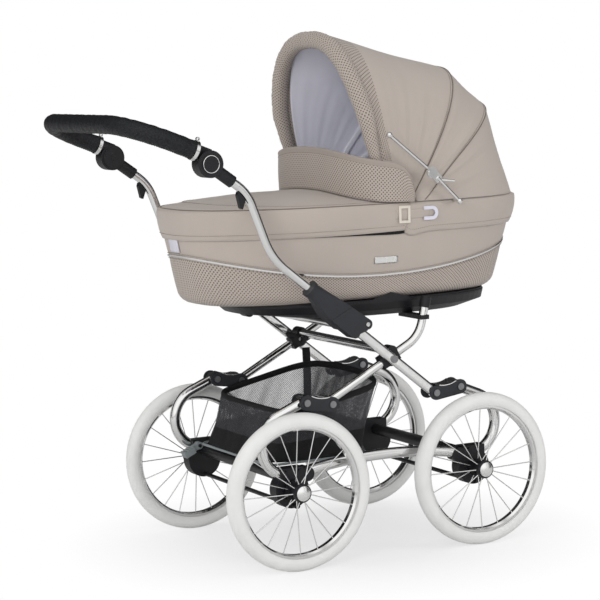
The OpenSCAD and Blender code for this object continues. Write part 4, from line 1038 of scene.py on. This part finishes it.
# %% Seams and tapes
SEAM_R, TAPE_R, TAPE_FLAT, SEAM_POINTS = 0.0011, 0.008, 0.35, 140
SWEEP_AT, SWEEP = 0.08, 0.10
CORD_PROUD, THREAD_PROUD, TAPE_INSET, BESIDE = 0.0004, 0.0003, 0.005, 1.1
for name, angle, foot in (("mid", MID_ANGLE, 0.0), ("back", BACK_ANGLE, 1.0)):
    arch_turns = even_arch(SEAM_POINTS, angle, 0.03 + 0.02 * foot)
    rise = np.sin(arch_turns) ** (2 / HOOD_ROUND)
    seam_angle = angle * (1 - foot * np.exp(-(rise - SWEEP_AT) / SWEEP))
    seam = hood_point(seam_angle, arch_turns, -CORD_PROUD)
    cord = tube("canopy_seam_" + name, seam, SEAM_R, seam_leather, (0, 1, 0.01), 6)
    bend_with_hood(cord)
    bow = hood_point(angle, arch_turns, CLOTH + TAPE_INSET)
    tape = tube("bow_tape_" + name, bow, TAPE_R, bow_tape, (0, 1, 0.01), 10, False, TAPE_FLAT)
    bend_with_hood(tape)
    beside = hood_point(seam_angle + BESIDE, arch_turns, -THREAD_PROUD)
    stitches("canopy_stitches_" + name, beside, unit(beside - [HOOD_X, 0, HOOD_Z - 0.2]), "canopy")
    print(name, "bow at", angle, "degrees")

# %% [markdown]
# ### The front roll
#
# A padded roll of dotted leather edges the hood, thinner towards its feet, where it is drawn in to the
# sides. It could be a bent pipe with a bevel, but carrying a circle along the front arch lets the
# radius change on the way, and lets it pucker a little as stuffed leather does.

# %% Front roll
ROLL_R, ROLL_INSET, ROLL_SPREAD, ROLL_GAP, ROLL_TAPER = 0.020, 0.008, 0.022, 0.002, 0.200
ROLL_DRAW, ROLL_THIN, ROLL_LIFT, ROLL_POINTS = 0.17, 0.7, math.radians(2.5), 241
ROLL_LENGTH = 1.05
lean = math.radians(ROLL_LEAN)
forward = np.array([-math.sin(lean), 0, math.cos(lean)])
arch_turns = even_arch(ROLL_POINTS, ROLL_LEAN, ROLL_LIFT)


def roll_path():
    """Centre line and radius of the roll: the front arch, set out and forward by the roll's radius, drawn
    in and thinned towards its feet."""
    path = hood_point(ROLL_LEAN, arch_turns, ROLL_INSET, ROLL_SPREAD)
    path = path + (ROLL_R + ROLL_GAP) * forward
    foot = np.clip(1 - (path[:, 2] - HOOD_Z) / ROLL_TAPER, 0, 1)
    path[:, 1] *= 1 - ROLL_DRAW * foot
    return path, ROLL_R * (1 - ROLL_THIN * foot)


path, roll_radius = roll_path()
puckers = ripple(np.linspace(0, ROLL_LENGTH, ROLL_POINTS),
                 [(0.00035, 0.021, 0.0), (0.0003, 0.0137, 1.3), (0.0004, 0.06, 0.4)])
front_roll = tube("hood_front_roll", path, roll_radius + puckers, dotted, forward, 28)
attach(front_roll, "hood")
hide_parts("hood_roll")
edge = hood_point(ROLL_LEAN, arch_turns)
share = np.linspace(0, 1, 6)[:, None, None]
facing = surface("roll_facing", (edge + (path - edge) * share).transpose(1, 0, 2), [dotted])
bend_with_hood(facing)
print("front roll:", len(front_roll.data.polygons), "faces")

# %% [markdown]
# ## The grip
#
# The handlebar is wrapped in padded black leather. Its path is straight, round a corner, across, and
# back the same way, so it is worked out from the reach, the corner radius and the width between the
# hinges. A seam with small stitches runs along the underside.

# %% Grip
GRIP_R = 0.021
GRIP_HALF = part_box("grip")[1][1] - GRIP_R - 0.0001
BAR_SLOPE = math.radians(21.7)
BAR_REACH, BAR_START, BAR_CORNER = 0.200, 0.0444, 0.116
HINGE, BAR_RISE = np.array([-0.441372, 0, 0.923488]), 0.017


def grip_path():
    """The bar's centre line in its own plane: out along u, a quarter turn, across, and back the same way."""
    quarter = np.linspace(0, np.pi / 2, 40)
    straight = np.linspace(BAR_START, BAR_REACH - BAR_CORNER, 20)
    u = np.concatenate([straight, BAR_REACH - BAR_CORNER + BAR_CORNER * np.sin(quarter)])
    v = np.concatenate([np.full(20, GRIP_HALF), GRIP_HALF - BAR_CORNER + BAR_CORNER * np.cos(quarter)])
    u, v = np.concatenate([u, u[::-1]]), np.concatenate([v, -v[::-1]])
    return resample(np.stack([u, v, np.zeros_like(u)], 1), 260)


flat_path = grip_path()
bar_x = np.array([-math.cos(BAR_SLOPE), 0, math.sin(BAR_SLOPE)])
bar_z = np.array([math.sin(BAR_SLOPE), 0, math.cos(BAR_SLOPE)])
grip_line = HINGE + BAR_RISE * bar_z + flat_path[:, :1] * bar_x + flat_path[:, 1:2] * np.array([0, 1, 0])
squash = ripple(np.linspace(0, 1, len(grip_line)), [(0.0003, 0.045, 0.0), (0.00025, 0.031, 1.0)])
grip = tube("leather_grip", grip_line, GRIP_R - 0.0004 + squash, grip_skin, bar_z, 32)
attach(grip, "handlebar")
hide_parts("grip")
stitches("grip_stitches", grip_line - bar_z * (GRIP_R - 0.0006), -bar_z, "handlebar", black_thread)
print("grip:", len(grip.data.polygons), "faces")

# %% [markdown]
# ### Button rings
#
# A push button on each hinge lets the bar tilt, and a bright ring edges it. The ring is a closed tube
# along a circle, placed from the button's own box.

# %% Button rings
RING_R, RING_POINTS = 0.0011, 64
for name, body in (("left", "button_l"), ("right", "button_r")):
    low, high = (np.array(corner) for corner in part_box("button_" + name))
    middle = (low + high) / 2
    outer = high[1] if middle[1] > 0 else low[1]
    turn = np.linspace(0, 2 * np.pi, RING_POINTS, endpoint=False)
    radius = (high[0] - low[0]) / 2 - 0.0012
    rim = np.stack([middle[0] + radius * np.cos(turn), np.full(RING_POINTS, outer),
                    middle[2] + radius * np.sin(turn)], 1)
    ring = tube("button_ring_" + name, rim, RING_R, chrome_tube, (0, 1, 0), 8, True)
    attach(ring, body)
    print(name, "ring:", round(radius * 1000, 1), "mm in radius")

# %% [markdown]
# ## The mattress
#
# The mattress lies on the tub's floor: a crowned pad that pulls in along a welt round its middle. It
# is the tub's own plan again, scaled column by column by one list and lifted by another.

# %% Mattress
PAD_LOW, PAD_HIGH = (corner[2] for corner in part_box("mattress"))
PAD_GAP = 0.0155
PAD_SHARE = np.array([0.0, 0.6, 0.90, 0.97, 1.0, 0.985, 1.0, 0.975, 0.93, 0.84, 0.70, 0.5, 0.25, 0.0])
PAD_RISE = np.array([0, 0, 0, 0.08, 0.3, 0.45, 0.6, 0.78, 0.88, 0.94, 0.97, 0.99, 1.0, 1.0])


def pad_grid():
    """Columns from under the middle, round the side and over the crown, each a scaled plan of the tub."""
    t = turns[::2, None]
    middle, a, b = tub_size(np.full((1, 1), 0.1))
    x = middle + (a - PAD_GAP) * PAD_SHARE * power(np.cos(t), 2 / ROUND)
    y = (b - PAD_GAP) * PAD_SHARE * power(np.sin(t), 2 / ROUND)
    return np.stack(np.broadcast_arrays(x, y, PAD_LOW + (PAD_HIGH - PAD_LOW) * PAD_RISE), -1)


mattress = close_poles(surface("mattress_pad", pad_grid(), [pad_cloth], True))
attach(mattress, "carrycot")
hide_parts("mattress")
print("mattress:", len(mattress.data.polygons), "faces")

# %% [markdown]
# ## Small trim on the tub
#
# A strap runs from the apron through a buckle to a loop on each side, a strip of black cloth is painted
# shadow in the gap under the apron's slack hem, and a plain metal plate sits on the near side. All are
# strips laid on the tub. They could be shrunk onto it by a modifier, but the plan can be solved for the
# turn at which the side reaches a given x, and so one function lays them exactly.

# %% Strips on the tub's sides
BAND_Z, STRAP_Z = TUB_TOP - BAND_H, TUB_TOP - 0.024
STRAP_FROM, STRAP_TO, STRAP_HALF = 0.050, 0.140, 0.011
PLATE_X, PLATE_Z, PLATE_L, PLATE_H = 0.035, 0.680, 0.060, 0.015
PAINTED_SHADOW_OUT, STRAP_OUT, PLATE_OUT = 0.0035, 0.0095, 0.0026
PAINTED_SHADOW_THICK, STRAP_THICK, PLATE_THICK = 0.001, 0.0016, 0.0016
HEM_LOW, HEM_LAP, HEM_END = 0.005, 0.009, 0.006


def side_turn(x, h):
    """The turn at which the tub's plan at h reaches x on the near side: minus the arccos of the share of
    the half length, to the power n/2."""
    middle, a, _ = tub_size(h)
    return -np.arccos(power((x - middle) / a, ROUND / 2))


def side_strip(name, x, low, high, out, finish, thickness, side=1):
    """A strip on the tub's near side (side 1) or far side (-1), between heights low and high at each x."""
    x = x[:, None]
    low = np.broadcast_to(low, len(x))[:, None]
    h = (low + (high - low) * np.linspace(0, 1, 7)[None] - TUB_LOW) / TUB_H
    points = on_tub(side_turn(x + 0 * h, h), h, out) * [1, side, 1]
    strip = surface(name, points if side > 0 else points[::-1], [finish])
    thicken(strip, thickness, 0)
    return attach(strip, "carrycot")


# The black strip under the apron's slack hem is painted shadow for the dark gap there; hem_x and hem_low
# give its run.
hem_x = np.linspace(SLACK_FROM, FRONT_EDGE - HEM_END, 60)
share = (hem_x - SLACK_FROM) / (FRONT_EDGE - SLACK_FROM)
hem_low = BAND_Z - HEM_LOW * share ** 1.5 * (1 - share ** 16)
strap_x = np.linspace(STRAP_FROM, STRAP_TO, 40)
for side, where in ((1, "near"), (-1, "far")):
    painted_shadow = side_strip("hem_painted_shadow_" + where, hem_x, hem_low, BAND_Z + HEM_LAP, PAINTED_SHADOW_OUT,
                         black_cloth, PAINTED_SHADOW_THICK, side)
    strap = side_strip("buckle_strap_" + where, strap_x, STRAP_Z - STRAP_HALF, STRAP_Z + STRAP_HALF,
                       STRAP_OUT, greige_leather, STRAP_THICK, side)
plate_x = np.linspace(PLATE_X - PLATE_L / 2, PLATE_X + PLATE_L / 2, 13)
plate = side_strip("plain_plate", plate_x, PLATE_Z - PLATE_H / 2, PLATE_Z + PLATE_H / 2, PLATE_OUT,
                   satin_cap, PLATE_THICK)
print("strips on the sides: elastic, straps and a plate")

# %% [markdown]
# ### The foot tab
#
# A pale tab lies on the foot end. There the plan is solved for the turn at which the end reaches a
# given y, by the arcsine in place of the arccosine.

# %% Foot tab
TAB_W, TAB_LOW, TAB_HIGH, TAB_OUT, TAB_THICK = 0.044, 0.712, 0.745, 0.0035, 0.003
y = np.linspace(-TAB_W / 2, TAB_W / 2, 13)[:, None]
h = (np.linspace(TAB_HIGH, TAB_LOW, 8)[None] - TUB_LOW) / TUB_H
tab_turn = np.pi - np.arcsin(power(y / tub_size(h)[2], ROUND / 2))
tab = surface("foot_tab", on_tub(tab_turn, h, TAB_OUT), [pale_plastic])
thicken(tab, TAB_THICK, 0)
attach(tab, "carrycot")
print("tab:", round(1000 * TAB_W), "mm wide")

# %% [markdown]
# ## The basket
#
# The shopping basket is black net over a solid lower panel, bound along its rim. Its walls are one
# grid: columns run up from the floor, and the rim's height rises to the front, where it arches. It
# could be cloth that is hung and let fall, but a wire holds its floor and its rim is tight, so a small
# sag and a few folds come closer.

# %% Basket
BASKET_X, BASKET_A, BASKET_W, BASKET_RIM, BASKET_LOW = -0.136, 0.136, 0.184, 0.2052, 0.232
BASKET_SIDE, BASKET_RISE, BASKET_ARCH = 0.114, 0.028, 0.014
BASKET_SHIFT, BASKET_SHORT, BASKET_CORNER = 0.043, 0.007, 0.35
BASKET_GIRTH, BASKET_INSET, BASKET_SAG = 1.25, 0.0015, 0.003
BASKET_FOLDS = [(0.0016, 0.11, 0.3), (0.0010, 0.047, 1.1)]
BASKET_SLOTS = [0] * 14 + [1] * 14
PANEL_TO, NET_FROM, NET_TO, NET_THICK = 0.34, 0.36, 0.97, 0.001


def basket_grid(turn, h, inset=0.0):
    """A point of the basket: a squarish superellipse that widens with h, whose rim rises to the front."""
    u, v = power(np.cos(turn), BASKET_CORNER), power(np.sin(turn), BASKET_CORNER)
    height = BASKET_SIDE + BASKET_RISE * (u + 1) + BASKET_ARCH * np.maximum(0, u) * (1 - v * v)
    x = BASKET_X + BASKET_SHIFT * h + (BASKET_A - BASKET_SHORT * h - inset) * u
    y = (BASKET_W + h * (BASKET_RIM - BASKET_W) - inset) * v
    return np.stack(np.broadcast_arrays(x, y, BASKET_LOW + h * height), -1)


def basket_turns(count):
    """Turns that step round the basket by equal arc lengths, half way up."""
    fine = np.linspace(0, 2 * np.pi, 8001)
    return equal_steps(fine, basket_grid(fine, np.full_like(fine, 0.5)), count, True)


wall_turns = basket_turns(200)[:, None]
heights = np.concatenate([np.linspace(0, PANEL_TO, 8), np.linspace(NET_FROM, NET_TO, 14)])[None]
around = np.linspace(0, BASKET_GIRTH, 200)[:, None]
folds = ripple(around + 0.05 * heights, BASKET_FOLDS)
wall = basket_grid(wall_turns, heights, BASKET_INSET + (BASKET_SAG + folds) * np.sin(np.pi * heights))
floor_middle = np.array([BASKET_X, 0, BASKET_LOW + BASKET_INSET])
floor = floor_middle + (wall[:, :1] - floor_middle) * np.linspace(0, 1, 7)[None, :-1, None]
basket_all = np.concatenate([floor, wall], 1)
basket = close_poles(surface("basket_net", basket_all, [black_cloth, net], True, False, BASKET_SLOTS))
thicken(basket, NET_THICK, 0)
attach(basket, "chassis")
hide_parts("basket")
print("basket:", len(basket.data.polygons), "faces")

# %% [markdown]
# ### Binding and strap
#
# A binding edges the rim: a tube along the rim's line, taller than it is wide. A strap of webbing
# hangs from the frame into the basket, and rides on the arm that holds it.

# %% Binding and strap
BINDING_AT, BINDING_R, BINDING_TALL = 0.955, 0.0045, 1.7
STRAP_Y, STRAP_FOOT, STRAP_BELLY = 0.180, 0.285, 0.003
STRAP_WIDE, STRAP_FLAT, STRAP_LAP = 0.011, 0.09, 0.006
rim_line = basket_grid(basket_turns(240), np.full(240, BINDING_AT), BINDING_R)
binding = tube("basket_binding", rim_line, BINDING_R, black_cloth, (0, 0, 1), 12, True, BINDING_TALL)
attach(binding, "chassis")
pivot_low, pivot_high = (np.array(corner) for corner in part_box("pivot_blocks"))
strap_top = np.array([(pivot_low[0] + pivot_high[0]) / 2, STRAP_Y, pivot_low[2] + STRAP_LAP])
fall = np.linspace(0, 1, 24)[:, None]
strap_line = strap_top + fall * np.array([0, 0, STRAP_FOOT - strap_top[2]])
strap_line = strap_line - np.sin(np.pi * fall) * np.array([0, STRAP_BELLY, 0])
strap = tube("basket_strap", strap_line, STRAP_WIDE, webbing, (0, 1, 0), 12, False, STRAP_FLAT)
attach(strap, "rear_arm")
print("strap:", round(float(strap_top[2]) - STRAP_FOOT, 3), "m long")

# %% [markdown]
# ## Studio
#
# A product is photographed on a pale floor that runs on into a white wall. Here the floor is one plane
# that takes the shadow, and it fades to white with the distance from the middle, so that no edge shows.

# %% Floor
FLOOR_SIZE, FLOOR_SHADE, FLOOR_MIRRORED = 30.0, 0.86, 0.74
FADE_FROM, FADE_TO, GLOW_NEAR, GLOW_FAR = 0.30, 0.66, 0.62, 1.0


def pale_floor():
    """A diffuse floor that takes shadows. To the camera it glows more with the distance from the middle,
    and it ends as white; mirrors see it a shade darker."""
    corners = np.array([[-1, -1, 0], [1, -1, 0], [1, 1, 0], [-1, 1, 0]]) * FLOOR_SIZE
    material = bpy.data.materials.new("studio_floor")
    material.use_nodes = True
    tree = material.node_tree
    tree.nodes.clear()
    rays = add_node(tree, "LightPath").outputs
    shade = add_node(tree, "MapRange", [rays["Is Glossy Ray"], 0, 1, FLOOR_SHADE, FLOOR_MIRRORED])
    diffuse = add_node(tree, "BsdfDiffuse", [shade.outputs[0]])
    where = add_node(tree, "TexCoord").outputs["Object"]
    away = add_node(tree, "VectorMath", [where], operation="LENGTH").outputs["Value"]
    fade = add_node(tree, "MapRange", [away, FADE_FROM, FADE_TO, GLOW_NEAR, GLOW_FAR])
    seen = add_node(tree, "Math", [rays["Is Camera Ray"], fade.outputs[0]], operation="MULTIPLY")
    glow = add_node(tree, "Emission")
    mix = add_node(tree, "MixShader", [seen.outputs[0], diffuse.outputs[0], glow.outputs[0]])
    add_node(tree, "OutputMaterial", [mix.outputs[0]])
    new_piece("studio_floor", corners, np.array([[0, 1, 2, 3]]), [material])


pale_floor()
print("floor of", 2 * FLOOR_SIZE, "m")

# %% [markdown]
# ### The sky
#
# Chrome needs something to mirror. Rays that have bounced off metal see a studio that is bright in
# front and dark behind, as between white screens, while rays from the camera see white, and soft light
# comes evenly from all sides.

# %% Sky
WHITE = (1, 1, 1, 1)
SKY_LEVEL = 0.55
BRIGHT_WALL = (-0.40, -0.80, 0.45)
MIRROR_RAMP = ((0.0, 0.03), (0.18, 0.06), (0.34, 0.62), (0.50, 1.0), (0.62, 0.60), (0.74, 1.1),
               (1.0, 1.1))


def studio_sky():
    """An even sky for diffuse light, white to the camera, and for mirrors a studio that is bright on one
    side: the brightness follows the dot product of a direction with the bright wall's."""
    scene.world = bpy.data.worlds.new("studio")
    scene.world.use_nodes = True
    tree = scene.world.node_tree
    tree.nodes.clear()
    rays = add_node(tree, "LightPath").outputs
    direction = add_node(tree, "TexCoord").outputs["Generated"]
    facing = add_node(tree, "VectorMath", [direction, BRIGHT_WALL], operation="DOT_PRODUCT")
    band = add_node(tree, "ValToRGB", [facing.outputs["Value"]])
    stops = band.color_ramp.elements
    for number, (position, value) in enumerate(MIRROR_RAMP):
        stop = stops[number] if number < 2 else stops.new(position)
        stop.position, stop.color = position, (value, value, value, 1)
    looks = [(band.outputs[0], 1.0), (WHITE, 1.0), (WHITE, SKY_LEVEL)]
    mirrored, white, even = (add_node(tree, "Background", look).outputs[0] for look in looks)
    mirror = add_node(tree, "MixShader", [rays["Is Glossy Ray"], even, mirrored])
    shown = add_node(tree, "MixShader", [rays["Is Camera Ray"], mirror.outputs[0], white])
    add_node(tree, "OutputWorld", [shown.outputs[0]])


studio_sky()
print("sky of strength", SKY_LEVEL)

# %% [markdown]
# ### Lamps
#
# One large soft lamp stands above the camera's left, a weaker one on the right, and one hangs overhead.
# A small one looks into the hood, whose inside would be dull without it.

# %% Lamps
MIDDLE = (0.0, 0.0, 0.6)


def soft_lamp(name, place, target, size, watts):
    """A round area lamp that looks at a target and isn't seen in mirrors."""
    light = bpy.data.lights.new(name, "AREA")
    light.shape, light.size, light.energy = "DISK", size, watts
    lamp = bpy.data.objects.new(name, light)
    lamp.location = place
    lamp.visible_glossy = False
    lamp.rotation_euler = (Vector(target) - Vector(place)).to_track_quat("-Z", "Y").to_euler()
    scene.collection.objects.link(lamp)


soft_lamp("key_lamp", (-3.2, -3.2, 2.2), MIDDLE, 2.4, 74.0)
soft_lamp("fill_lamp", (2.8, -3.4, 1.7), MIDDLE, 2.0, 46.0)
soft_lamp("top_lamp", (0.4, 0.6, 3.8), MIDDLE, 2.6, 14.0)
soft_lamp("hood_lamp", (-3.4, 0.9, 1.5), (0.1, 0.0, 0.95), 1.4, 17.0)
print("lamps:", len(bpy.data.lights))

# %% [markdown] ## Sizes
